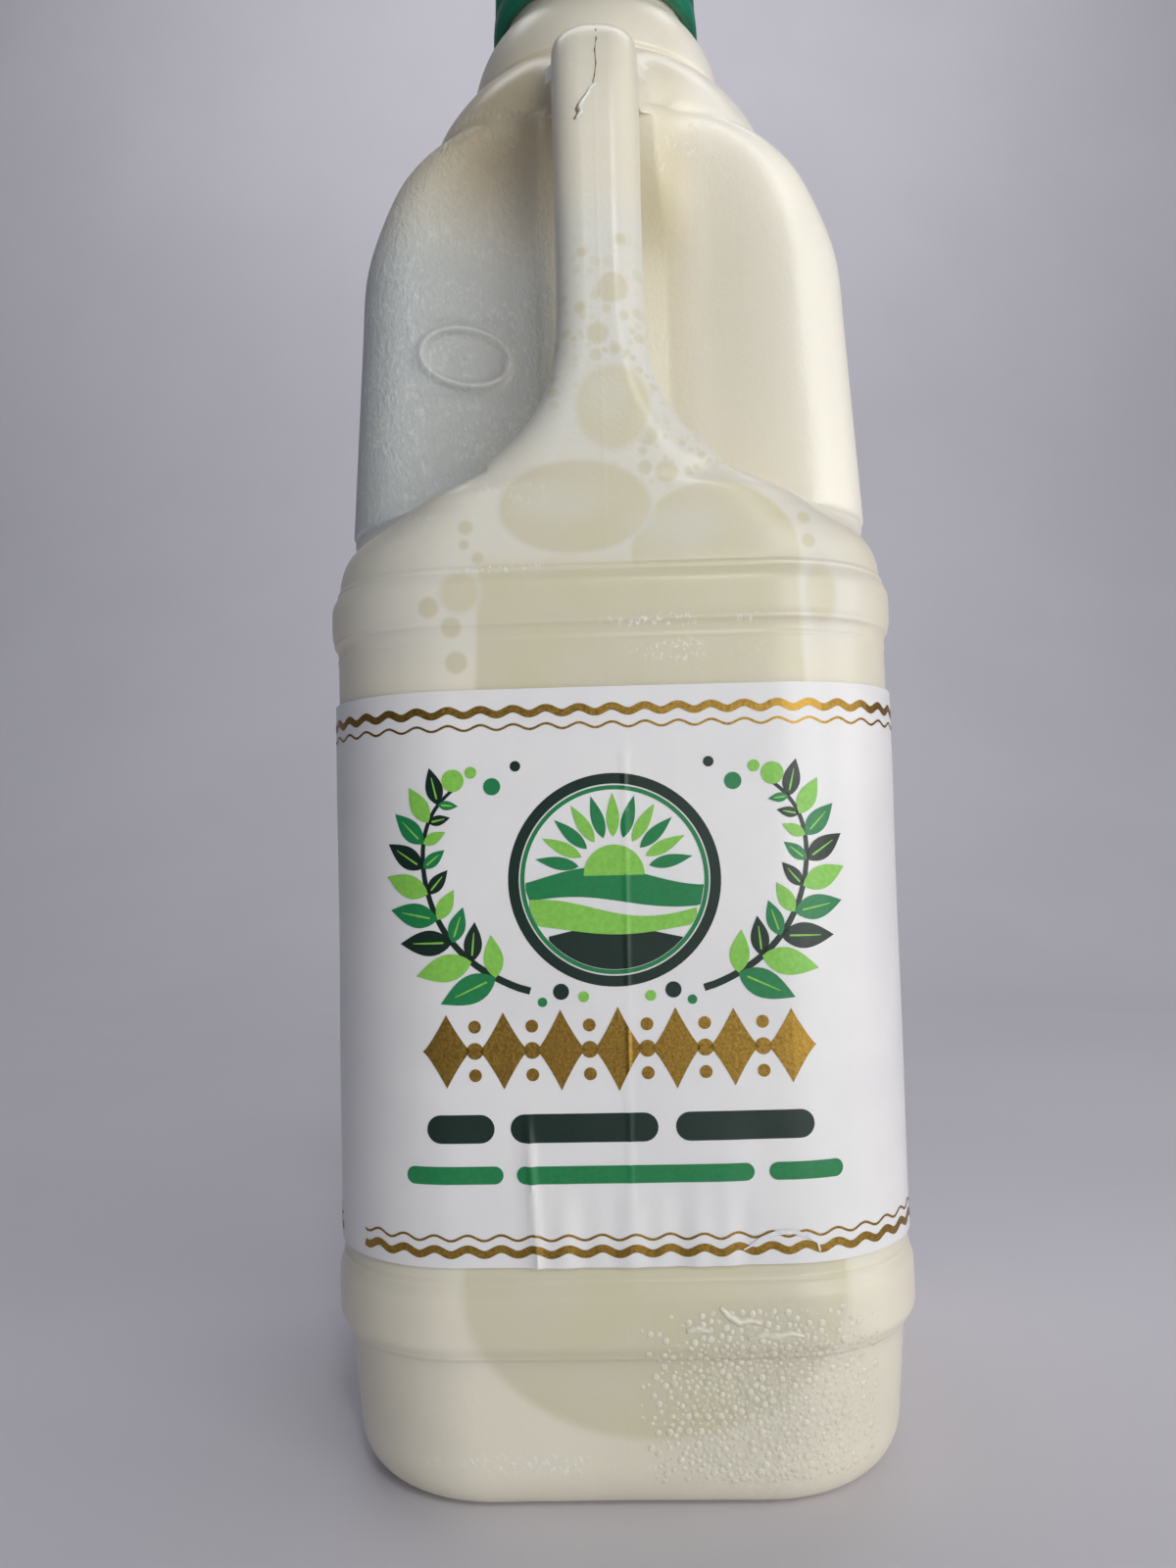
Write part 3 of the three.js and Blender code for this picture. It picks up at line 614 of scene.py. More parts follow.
class Nodes:
    """Builds nodes in one tree and links them, from left to right."""

    def __init__(self, tree):
        self.tree = tree
        self.count = 0

    def add(self, kind, **settings):
        node = self.tree.nodes.new(kind)
        node.location = (self.count * 180 - 1500, 260 - (self.count % 5) * 170)
        self.count += 1
        for name, value in settings.items():
            setattr(node, name, value)
        return node

    def put(self, socket, value):
        if isinstance(value, bpy.types.NodeSocket):
            self.tree.links.new(value, socket)
        elif value is not None:
            socket.default_value = value

    def math(self, operation, a, b=None, c=None):
        node = self.add("ShaderNodeMath", operation=operation)
        for socket, value in zip(node.inputs, (a, b, c)):
            self.put(socket, value)
        return node.outputs[0]

    def vector(self, operation, a, b=None):
        node = self.add("ShaderNodeVectorMath", operation=operation)
        self.put(node.inputs[0], a)
        self.put(node.inputs[1], b)
        return node.outputs["Value"] if operation in ("LENGTH", "DISTANCE") else node.outputs[0]

    def ramp(self, value, low, high, to_low=0.0, to_high=1.0):
        node = self.add("ShaderNodeMapRange", interpolation_type="SMOOTHSTEP")
        for socket, item in zip(node.inputs, (value, low, high, to_low, to_high)):
            self.put(socket, item)
        return node.outputs[0]

    def blend(self, factor, a, b, kind="MIX"):
        node = self.add("ShaderNodeMix", data_type="RGBA", blend_type=kind)
        self.put(node.inputs["Factor"], factor)
        self.put(node.inputs[6], rgba(a))
        self.put(node.inputs[7], rgba(b))
        return node.outputs[2]

    def product(self, first, *others):
        """All the values multiplied together."""
        for other in others:
            first = self.math("MULTIPLY", first, other)
        return first

    def highest(self, first, *others):
        """The largest of the values."""
        for other in others:
            first = self.math("MAXIMUM", first, other)
        return first

    def tint(self, colour, over, *factors):
        """A colour with another laid over it by the product of the factors."""
        return self.blend(self.product(*factors), colour, over)

    def cells(self, where, scale, randomness=1.0):
        """The outputs of a texture of cells round scattered points."""
        node = self.add("ShaderNodeTexVoronoi", feature="F1")
        self.put(node.inputs["Vector"], where)
        self.put(node.inputs["Scale"], scale)
        self.put(node.inputs["Randomness"], randomness)
        return node.outputs

    def noise(self, where, scale, detail=2.0, roughness=0.5):
        node = self.add("ShaderNodeTexNoise")
        self.put(node.inputs["Vector"], where)
        self.put(node.inputs["Scale"], scale)
        self.put(node.inputs["Detail"], detail)
        self.put(node.inputs["Roughness"], roughness)
        return node.outputs["Fac"]

    def group(self, tree, **inputs):
        node = self.add("ShaderNodeGroup", node_tree=tree)
        for name, value in inputs.items():
            self.put(node.inputs[name.replace("_", " ")], value)
        return node


def rgba(colour):
    """A colour with its alpha, or the socket as it is."""
    if isinstance(colour, bpy.types.NodeSocket) or colour is None or len(colour) == 4:
        return colour
    return (*colour, 1.0)


def new_group(name, inputs, outputs):
    """An empty shader node group with named sockets, and its input and output nodes."""
    tree = bpy.data.node_groups.new(name, "ShaderNodeTree")
    for label, kind, default in inputs:
        socket = tree.interface.new_socket(label, in_out="INPUT", socket_type="NodeSocket" + kind)
        if default is not None:
            socket.default_value = default
    for label, kind in outputs:
        tree.interface.new_socket(label, in_out="OUTPUT", socket_type="NodeSocket" + kind)
    nodes = Nodes(tree)
    return tree, nodes, nodes.add("NodeGroupInput").outputs, nodes.add("NodeGroupOutput").inputs


def new_material(name):
    """A material with its Principled shader, and the place in millimetres as a socket."""
    material = bpy.data.materials.new(name)
    material.use_nodes = True
    nodes = Nodes(material.node_tree)
    shader = material.node_tree.nodes["Principled BSDF"]
    where = nodes.vector("MULTIPLY", nodes.add("ShaderNodeTexCoord").outputs["Object"], (1000, 1000, 1000))
    return material, nodes, shader, where


def spot_group():
    """A soft-edged ellipsoid spot: Mask is 1 inside, Rim is 1 along its edge."""
    tree, nodes, given, out = new_group(
        "soft spot",
        [("Place", "Vector", None), ("Centre", "Vector", None), ("Size", "Vector", (1, 1, 1)),
         ("Edge", "Float", 0.08)],
        [("Mask", "Float"), ("Rim", "Float")],
    )
    offset = nodes.vector("SUBTRACT", given["Place"], given["Centre"])
    reach = nodes.vector("LENGTH", nodes.vector("DIVIDE", offset, given["Size"]))
    inner = nodes.math("SUBTRACT", 1.0, given["Edge"])
    outer = nodes.math("ADD", 1.0, given["Edge"])
    mask = nodes.ramp(reach, inner, outer, 1.0, 0.0)
    far = nodes.math("ABSOLUTE", nodes.math("SUBTRACT", reach, 1.0))
    wide = nodes.product(given["Edge"], 1.8)
    tree.links.new(mask, out["Mask"])
    tree.links.new(nodes.ramp(far, 0.0, wide, 1.0, 0.0), out["Rim"])
    return tree


def foam_group():
    """Packed round bubbles: Mask is 1 inside a bubble and 0 in the film between them."""
    tree, nodes, given, out = new_group(
        "foam",
        [("Place", "Vector", None), ("Scale", "Float", 1.0), ("Size", "Float", 0.4)],
        [("Mask", "Float")],
    )
    flat = nodes.vector("MULTIPLY", given["Place"], (1, 0.1, 1))
    cells = nodes.cells(flat, given["Scale"], 0.85)
    chance = nodes.add("ShaderNodeSeparateColor")
    nodes.put(chance.inputs[0], cells["Color"])
    size = nodes.product(given["Size"], nodes.math("MULTIPLY_ADD", chance.outputs[0], 0.8, 0.35))
    edge = nodes.math("SUBTRACT", cells["Distance"], size)
    tree.links.new(nodes.ramp(edge, -0.16, 0.05, 1.0, 0.0), out["Mask"])
    return tree


def skin_group():
    """Height of a moulded plastic skin: faint waviness, fine grain and where Rough is 1 a coarse stipple."""
    tree, nodes, given, out = new_group(
        "moulded skin",
        [("Place", "Vector", None), ("Wave", "Float", 1.0), ("Grain", "Float", 1.0), ("Rough", "Float", 0.0)],
        [("Height", "Float")],
    )
    wave = nodes.product(nodes.noise(given["Place"], 0.09, 1.0), given["Wave"])
    grain = nodes.product(nodes.noise(given["Place"], 1.6, 3.0, 0.6), given["Grain"])
    stipple = nodes.noise(nodes.vector("MULTIPLY", given["Place"], (1, 1, 0.55)), 1.05, 4.0, 0.75)
    coarse = nodes.product(nodes.ramp(stipple, 0.38, 0.68), given["Rough"])
    tree.links.new(nodes.math("ADD", nodes.math("ADD", wave, grain), coarse), out["Height"])
    return tree


# Rounded ends of the air pocket and large bubbles seen through the wall: centre x, z and half-size x, z
POCKET_TOP = (16.8, 144.0, 13.0, 11.6)
POCKET_FOOT = (4.6, 34.5, 28.6, 22.4)
LARGE_BUBBLES = (
    (1.6, 167.8, 6.0, 6.9), (-4.6, 152.3, 12.0, 7.4), (32.7, 137.9, 2.7, 5.0), (-22.6, 139.3, 3.2, 3.4),
)

# The air pocket's straight sides at two heights: height, left x and right x
POCKET_SIDES = ((124.0, -20.5, 29.8), (34.0, -24.0, 33.2))

# Small bubbles: centre x, z and radius
SMALL_BUBBLES = (
    (-27.4, 137.1, 1.6), (-24.0, 134.0, 1.55), (-23.4, 128.6, 1.7), (-21.6, 149.6, 1.1),
    (-21.9, 146.9, 0.75), (-19.8, 144.7, 0.9), (30.7, 150.1, 1.05), (31.2, 146.3, 1.1),
    (2.1, 186.8, 2.4), (-0.4, 179.6, 1.7), (2.2, 177.0, 0.9), (6.9, 163.0, 1.5),
    (9.6, 157.3, 1.7), (-2.6, 192.6, 0.8), (3.4, 194.5, 0.9), (-3.1, 183.8, 0.9),
)

# Painted highlights in the middles of the largest bubbles and of the pocket's top: centre x, z and half-size
# x, z
PAINTED_HIGHLIGHTS = ((1.0, 169.5, 3.2, 3.4), (-7.0, 153.0, 6.0, 3.0), (11.0, 148.5, 6.5, 3.2))

# Where glints are painted on the skin, besides the left recess: centres and half-sizes
GLINTS = (
    ((-25.0, -49.0, 155.6), (13.0, 8.0, 4.6)),
    ((-3.6, -52.0, 208.0), (1.1, 6.0, 15.0)),
    ((18.0, -28.0, 223.0), (7.0, 8.0, 6.0)),
    ((12.0, -25.0, 210.5), (3.0, 8.0, 2.4)),
    ((12.0, -52.5, 134.2), (14.0, 5.0, 0.9)),
    ((-19.0, -52.5, 143.0), (11.0, 5.0, 0.6)),
    ((13.0, -52.0, 129.6), (9.0, 5.0, 1.5)),
    ((-12.0, -51.0, 8.6), (17.0, 8.0, 1.4)),
    ((18.0, -50.0, 7.2), (9.0, 8.0, 1.2)),
)

# The front's face, and how deep a spot on it reaches
FRONT_Y = -52.0
SPOT_DEPTH = 30.0

# Spots of colour or relief: centre, half-size and softness of the edge
FOAM_BESIDE = ((9.5, 160.5), (8.5, 5.0), 0.4)
PEEL_CORNER = ((22.0, 17.0), (15.0, 13.0), 0.35)
# Painted shadows: a warm one beside the grip's top on the left and a yellowish one in the channel right of
# the grip
WARM_SHADOW_SPOT = ((-17.0, -29.0, 231.0), (15.0, 14.0, 17.0), 0.7)
CHANNEL_SHADOW_SPOT = ((13.0, -23.0, 203.0), (8.0, 9.0, 30.0), 0.6)

# Soft limits of areas, from where a mask is 0 to where it is 1
FRONT_FACE = (-44.0, -48.5)
LOBE_END = (206.0, 196.0)
POCKET_END = (146.0, 141.0)
POCKET_BLUR = 0.6
POCKET_FOOT_BLUR = 0.8
FOAM_FOOT = (164.0, 172.0)
FOAM_END = (203.0, 178.0)
FILM_FOOT = (126.0, 132.0)
FILM_END = (166.0, 158.0)
LEFT_SIDE = (-4.0, -14.0)
# The right side, the top of the left recess and the walls' depths bound the painted light and shade on the
# recess walls
LIT_RIGHT_SIDE = (12.0, 20.0)
SHADED_RECESS_END = (224.0, 204.0)
RECESS_FOOT = (150.0, 158.0)
LIT_AND_SHADED_DEPTHS = ((-46.0, -38.0), (-4.0, -12.0))
STIPPLED_DEPTHS = ((-45.0, -40.0), (-4.0, -10.0))
STIPPLE_END = (238.0, 226.0)

# Scale and bubble size of the foam's coarse and fine bubbles
COARSE_FOAM = (0.44, 0.5)
FINE_FOAM = (0.8, 0.42)
FINE_SHARE = 0.6

# How strongly each tint covers the colour below it
FOAM_TINT = 0.6
BUBBLE_TINT = 0.72
RIM_TINT = 0.45
# The tints from here on lay painted highlights and painted shade
HIGHLIGHT_TINT = 0.4
WARM_SHADOW_TINT = 0.62
CHANNEL_SHADOW_TINT = 0.6
COOL_SHADE_TINT = 0.6
OVAL_HIGHLIGHT_TINT = 0.42
GLINT_TINT = 0.8

# Widths of soft edges: the bubbles' in millimetres, the others' as shares of their size
LARGE_BLUR = 0.55
SMALL_BLUR = 0.42
HIGHLIGHT_BLUR = 0.6
GLINT_BLUR = 0.55
POCKET_TOP_BLUR = 0.04
POCKET_CURVE_BLUR = 0.045
OVAL_BLUR = 0.13

# Depth at which the painted highlight on the oval's rim is centred, and how far it reaches in front and
# behind
OVAL_WALL_Y = -18.0
OVAL_DEPTH = 60.0


class BodyMasks:
    """Masks from 0 to 1 for areas of the body, made from the place in millimetres."""

    def __init__(self, nodes, groups, where):
        self.nodes = nodes
        self.groups = groups
        self.where = where
        xyz = nodes.add("ShaderNodeSeparateXYZ")
        nodes.put(xyz.inputs[0], where)
        self.x, self.y, self.z = xyz.outputs

    def spot(self, centre, size, edge):
        """The outputs of a soft spot anywhere on the body."""
        return self.nodes.group(self.groups["spot"], Place=self.where, Centre=centre, Size=size,
                                Edge=edge).outputs

    def front_spot(self, centre, size, edge):
        """The outputs of a soft spot on the front, open to any depth behind it."""
        return self.spot((centre[0], FRONT_Y, centre[1]), (size[0], SPOT_DEPTH, size[1]), edge)

    def bubbles(self, ovals, blur):
        """The spots of ovals given by centre x, z and half-size x, z."""
        return [self.front_spot((x, z), (rx, rz), blur / rx) for x, z, rx, rz in ovals]

    def front(self):
        """The front's face up to the lobe's end."""
        return self.nodes.product(self.nodes.ramp(self.y, *FRONT_FACE), self.nodes.ramp(self.z, *LOBE_END))

    def recess(self, front_limits, back_limits):
        """The walls beside the grip between two soft limits of their depth."""
        nodes = self.nodes
        return nodes.product(nodes.ramp(self.y, *front_limits), nodes.ramp(self.y, *back_limits),
                             nodes.ramp(self.z, *RECESS_FOOT))

    def slanted(self, high, x_high, low, x_low):
        """X of a straight edge that passes two points, at every height."""
        slope = (x_high - x_low) / (high - low)
        return self.nodes.math("MULTIPLY_ADD", self.z, slope, x_low - low * slope)

    def pocket(self):
        """The air pocket behind the front: straight sides, an arched top and a rounded foot."""
        nodes = self.nodes
        (high, left_high, right_high), (low, left_low, right_low) = POCKET_SIDES
        past_left = nodes.math("SUBTRACT", self.x, self.slanted(high, left_high, low, left_low))
        short_of_right = nodes.math("SUBTRACT", self.slanted(high, right_high, low, right_low), self.x)
        foot_at = POCKET_FOOT[1]
        sides = nodes.product(nodes.ramp(past_left, -POCKET_BLUR, POCKET_BLUR),
                              nodes.ramp(short_of_right, -POCKET_BLUR, POCKET_BLUR),
                              nodes.ramp(self.z, foot_at - POCKET_FOOT_BLUR, foot_at + POCKET_FOOT_BLUR),
                              nodes.ramp(self.z, *POCKET_END))
        top = self.front_spot(POCKET_TOP[:2], POCKET_TOP[2:], POCKET_TOP_BLUR)["Mask"]
        foot = self.front_spot(POCKET_FOOT[:2], POCKET_FOOT[2:], POCKET_CURVE_BLUR)["Mask"]
        return nodes.highest(sides, top, foot)

    def foam(self):
        """The foam's bubbles, coarse with fine ones between, above the air pocket and just over its top."""
        nodes = self.nodes
        coarse, fine = (nodes.group(self.groups["foam"], Place=self.where, Scale=scale, Size=size)
                        .outputs["Mask"] for scale, size in (COARSE_FOAM, FINE_FOAM))
        band = nodes.product(nodes.ramp(self.z, *FOAM_FOOT), nodes.ramp(self.z, *FOAM_END))
        beside = self.front_spot(*FOAM_BESIDE)["Mask"]
        either = nodes.highest(nodes.product(fine, FINE_SHARE), coarse)
        return nodes.product(either, nodes.highest(band, beside))

    def painted_glints(self, shaded_left_recess):
        """Painted glints: short pale strokes where the skin catches light, half as strong in the left
        recess's painted shade.
        """
        nodes = self.nodes
        glints = [self.spot(centre, size, GLINT_BLUR)["Mask"] for centre, size in GLINTS]
        glossy = nodes.highest(nodes.product(shaded_left_recess, 0.5), *glints)
        strokes = nodes.vector("MULTIPLY", self.where, (1.4, 0.6, 0.9))
        painted_glints = nodes.ramp(nodes.noise(strokes, 0.95, 3.0, 0.65), 0.51, 0.67)
        patches = nodes.ramp(nodes.noise(self.where, 0.11, 1.0), 0.34, 0.58)
        return nodes.product(painted_glints, patches, glossy)


def seen_through_wall(settings, nodes, masks):
    """The body's colour: milk, with foam, bubbles and the air pocket behind the front, and painted highlights
    in the largest bubbles and the pocket's top.
    """
    base = nodes.blend(nodes.ramp(nodes.noise(masks.where, 0.035, 2.0), 0.3, 0.7),
                       settings.wall_colour, settings.wall_shade)
    pocket_colour = nodes.blend(nodes.ramp(nodes.noise(masks.where, 0.06, 2.0), 0.35, 0.65),
                                settings.pocket_colour, settings.pocket_edge)
    front = masks.front()
    large = masks.bubbles(LARGE_BUBBLES, LARGE_BLUR)
    small = masks.bubbles([(x, z, radius, radius) for x, z, radius in SMALL_BUBBLES], SMALL_BLUR)
    air = nodes.highest(masks.pocket(), *(bubble["Mask"] for bubble in large))
    clear_of_air = nodes.math("SUBTRACT", 1.0, air)
    rims = nodes.highest(*(bubble["Rim"] for bubble in large))
    insides = nodes.highest(*(bubble["Mask"] for bubble in small))
    colour = nodes.tint(base, settings.foam_colour, nodes.ramp(masks.z, *FILM_FOOT), front, clear_of_air,
                        nodes.ramp(masks.z, *FILM_END, 0.9, 0.5))
    colour = nodes.tint(colour, settings.bubble_colour, masks.foam(), clear_of_air, front, FOAM_TINT)
    colour = nodes.tint(colour, settings.bubble_colour, insides, front, BUBBLE_TINT)
    colour = nodes.tint(colour, pocket_colour, air, front)
    colour = nodes.tint(colour, settings.foam_colour, rims, front, RIM_TINT)
    # Painted highlights in the largest bubbles and the pocket's top.
    for x, z, rx, rz in PAINTED_HIGHLIGHTS:
        bubble_highlight = masks.front_spot((x, z), (rx, rz), HIGHLIGHT_BLUR)["Mask"]
        colour = nodes.tint(colour, settings.foam_colour, bubble_highlight, front, HIGHLIGHT_TINT)
    return colour


def painted_wall_shade_and_light(settings, nodes, masks, colour, recess, shaded_left_recess):
    """Painted shade and light on the walls beside the grip, laid over the body's colour: painted shadows by
    the grip, painted cool shade in the left recess, painted light on the right recess and a painted highlight
    along the oval's rim.
    """
    # Painted warm shadow on the wall beside the grip's top.
    colour = nodes.tint(colour, settings.painted_warm_shadow, masks.spot(*WARM_SHADOW_SPOT)["Mask"], WARM_SHADOW_TINT)
    # Painted shadow of the grip in the channel right of it.
    colour = nodes.tint(colour, settings.painted_channel_shadow, masks.spot(*CHANNEL_SHADOW_SPOT)["Mask"], CHANNEL_SHADOW_TINT)
    # Painted cool shade over the left recess.
    colour = nodes.tint(colour, settings.painted_cool_shade, shaded_left_recess, COOL_SHADE_TINT)
    # Painted light on the right recess wall.
    colour = nodes.tint(colour, settings.painted_wall_light, nodes.ramp(masks.x, *LIT_RIGHT_SIDE), recess)
    # A painted highlight along the oval's rim, in the left recess's painted shade.
    x, z, rx, rz, _ = OVAL
    rim = masks.spot((x, OVAL_WALL_Y, z), (rx, OVAL_DEPTH, rz), OVAL_BLUR)["Rim"]
    return nodes.tint(colour, settings.painted_highlight_colour, rim, shaded_left_recess, OVAL_HIGHLIGHT_TINT)


def body_relief(nodes, groups, masks, left, painted_glints):
    """Height of the skin: a stipple in the recesses, relief under the painted glints, orange peel on the
    lower right.
    """
    recess = nodes.product(masks.recess(*STIPPLED_DEPTHS), nodes.ramp(masks.z, *STIPPLE_END))
    stipple = nodes.product(recess, nodes.math("MULTIPLY_ADD", left, 0.62, 0.1))
    rough = nodes.math("ADD", stipple, nodes.product(painted_glints, 0.5))
    skin = nodes.group(groups["skin"], Place=masks.where, Wave=0.5, Grain=0.1, Rough=rough).outputs["Height"]
    pits = nodes.math("SUBTRACT", 1.0, nodes.cells(masks.where, 0.75)["Distance"])
    peel = nodes.product(pits, masks.front_spot(*PEEL_CORNER)["Mask"])
    return nodes.math("MULTIPLY_ADD", peel, 0.9, skin)


def bumped(nodes, shader, height, strength, depth):
    """Gives a shader the relief of a height, whose full step is depth millimetres."""
    bump = nodes.add("ShaderNodeBump")
    nodes.put(bump.inputs["Height"], height)
    bump.inputs["Strength"].default_value = strength
    bump.inputs["Distance"].default_value = depth * MM
    nodes.put(shader.inputs["Normal"], bump.outputs[0])


def skin_relief(nodes, shader, groups, where, wave, grain, strength, depth=0.3):
    """Gives a shader the moulded skin's relief, without the stipple."""
    skin = nodes.group(groups["skin"], Place=where, Wave=wave, Grain=grain, Rough=0.0).outputs["Height"]
    bumped(nodes, shader, skin, strength, depth)


def jug_material(settings, groups):
    """Natural plastic with milk against it: cream, with khaki air pockets and pale foam behind the front,
    painted shade and light on the recess walls and painted glints.
    """
    material, nodes, shader, where = new_material("natural plastic over milk")
    masks = BodyMasks(nodes, groups, where)
    left = nodes.ramp(masks.x, *LEFT_SIDE)
    recess = masks.recess(*LIT_AND_SHADED_DEPTHS)
    # The left recess, where shade is painted; it also sets how strong the painted glints and the oval's
    # painted highlight are there.
    shaded_left_recess = nodes.product(left, recess, nodes.ramp(masks.z, *SHADED_RECESS_END))
    painted_glints = masks.painted_glints(shaded_left_recess)
    colour = seen_through_wall(settings, nodes, masks)
    colour = painted_wall_shade_and_light(settings, nodes, masks, colour, recess, shaded_left_recess)
    # Painted glints laid over the colour.
    nodes.put(shader.inputs["Base Color"], nodes.tint(colour, settings.painted_highlight_colour, painted_glints, GLINT_TINT))
    bumped(nodes, shader, body_relief(nodes, groups, masks, left, painted_glints), settings.skin_bump, 0.4)
    satin = nodes.ramp(nodes.noise(where, 0.2, 2.0, 0.5), 0.3, 0.7, 0.3, 0.34)
    nodes.put(shader.inputs["Roughness"], satin)
    shader.inputs["Subsurface Weight"].default_value = settings.glow
    shader.inputs["Subsurface Radius"].default_value = (1.0, 0.85, 0.6)
    shader.inputs["Subsurface Scale"].default_value = 0.006
    shader.inputs["Specular IOR Level"].default_value = 0.5
    return material


def label_material(settings, groups):
    """White printed film with a soft sheen and faint mottling."""
    material, nodes, shader, where = new_material("label film")
    cloud = nodes.ramp(nodes.noise(where, 0.05, 3.0), 0.3, 0.7)
    colour = nodes.blend(cloud, settings.film_colour, settings.film_shade)
    nodes.put(shader.inputs["Base Color"], colour)
    nodes.put(shader.inputs["Roughness"], nodes.ramp(nodes.noise(where, 0.8, 3.0), 0.3, 0.7, 0.3, 0.38))
    skin_relief(nodes, shader, groups, where, wave=0.9, grain=0.05, strength=0.5, depth=0.4)
    return material


def foil_material(settings, groups):
    """Gold foil: metallic, with fine darker specks."""
    material, nodes, shader, where = new_material("gold foil")
    fleck = nodes.ramp(nodes.noise(where, 2.2, 4.0, 0.7), 0.3, 0.72)
    colour = nodes.blend(fleck, settings.foil_dark, settings.foil_colour)
    nodes.put(shader.inputs["Base Color"], colour)
    shader.inputs["Metallic"].default_value = 0.85
    nodes.put(shader.inputs["Roughness"], nodes.ramp(fleck, 0.0, 1.0, 0.32, 0.46))
    skin_relief(nodes, shader, groups, where, wave=0.9, grain=0.3, strength=0.4)
    return material


def ink_material(name, colour, groups):
    """Printed ink: flat colour with the slight unevenness of print."""
    material, nodes, shader, where = new_material(name)
    uneven = nodes.ramp(nodes.noise(where, 1.4, 3.0, 0.6), 0.25, 0.75)
    darker = tuple(c * 0.82 for c in colour)
    nodes.put(shader.inputs["Base Color"], nodes.blend(uneven, colour, darker))
    nodes.put(shader.inputs["Roughness"], nodes.ramp(uneven, 0.0, 1.0, 0.34, 0.42))
    skin_relief(nodes, shader, groups, where, wave=0.9, grain=0.05, strength=0.4)
    return material


def cap_material(settings, groups):
    """Green moulded plastic in two close shades."""
    material, nodes, shader, where = new_material("cap plastic")
    patchy = nodes.ramp(nodes.noise(where, 0.12, 3.0), 0.3, 0.7)
    colour = nodes.blend(patchy, settings.cap_colour, settings.cap_shade)
    nodes.put(shader.inputs["Base Color"], colour)
    nodes.put(shader.inputs["Roughness"], nodes.ramp(nodes.noise(where, 1.5, 3.0), 0.3, 0.7, 0.34, 0.46))
    skin_relief(nodes, shader, groups, where, wave=0.4, grain=0.5, strength=0.35)
    shader.inputs["Subsurface Weight"].default_value = 0.08
    shader.inputs["Subsurface Scale"].default_value = 0.002
    return material


def milk_material(groups):
    """The milk inside, which the plastic hides: cream with a slightly glossy, gently swirled skin."""
    material, nodes, shader, where = new_material("milk")
    swirl = nodes.ramp(nodes.noise(where, 0.05, 3.0), 0.3, 0.7)
    nodes.put(shader.inputs["Base Color"], nodes.blend(swirl, srgb(246, 241, 226), srgb(240, 233, 214)))
    nodes.put(shader.inputs["Roughness"], nodes.ramp(swirl, 0.0, 1.0, 0.2, 0.3))
    skin_relief(nodes, shader, groups, where, wave=0.6, grain=0.0, strength=0.3)
    return material


def flat_material(name, colour, roughness, groups):
    """A plain material with the moulded skin's unevenness."""
    material, nodes, shader, where = new_material(name)
    uneven = nodes.ramp(nodes.noise(where, 1.2, 3.0), 0.3, 0.7)
    nodes.put(shader.inputs["Base Color"], nodes.blend(uneven, colour, tuple(c * 0.85 for c in colour)))
    nodes.put(shader.inputs["Roughness"], nodes.ramp(uneven, 0.0, 1.0, roughness, roughness * 1.25))
    skin_relief(nodes, shader, groups, where, wave=0.5, grain=0.3, strength=0.4)
    return material


def shared_groups():
    """The effects that several materials use, made once."""
    known = bpy.data.node_groups
    return {
        "spot": known.get("soft spot") or spot_group(),
        "foam": known.get("foam") or foam_group(),
        "skin": known.get("moulded skin") or skin_group(),
    }


# Label

LABEL_COLUMNS = 560
LABEL_ROWS = 96
PRINT_CELL = (0.32, 0.5)

# The film's fold, slack part, ruck and crease: place along the label, lean, rise and reach
FOLD_X = -13.8
FOLD_MIDDLE = 60
FOLD_LEAN = 0.05
FOLD_RISE = 0.42
FOLD_REACH = 0.55
SLACK_TOP = (52, 63)
SLACK_SIDES = (-13.0, 18.5)
SLACK_RISE = 0.34
RUCK_TOP = (42, 53)
RUCK_RISE = 0.16
CREASE_X = 1.6
CREASE_MIDDLE = 80
CREASE_LEAN = 0.01
CREASE_RISE = 0.13
CREASE_REACH = 0.3
CREASE_FOOT = (43, 50)
CREASE_TOP = (112, 118)
WAVE_RISE = 0.09
DEEPEST_DIP = -0.2


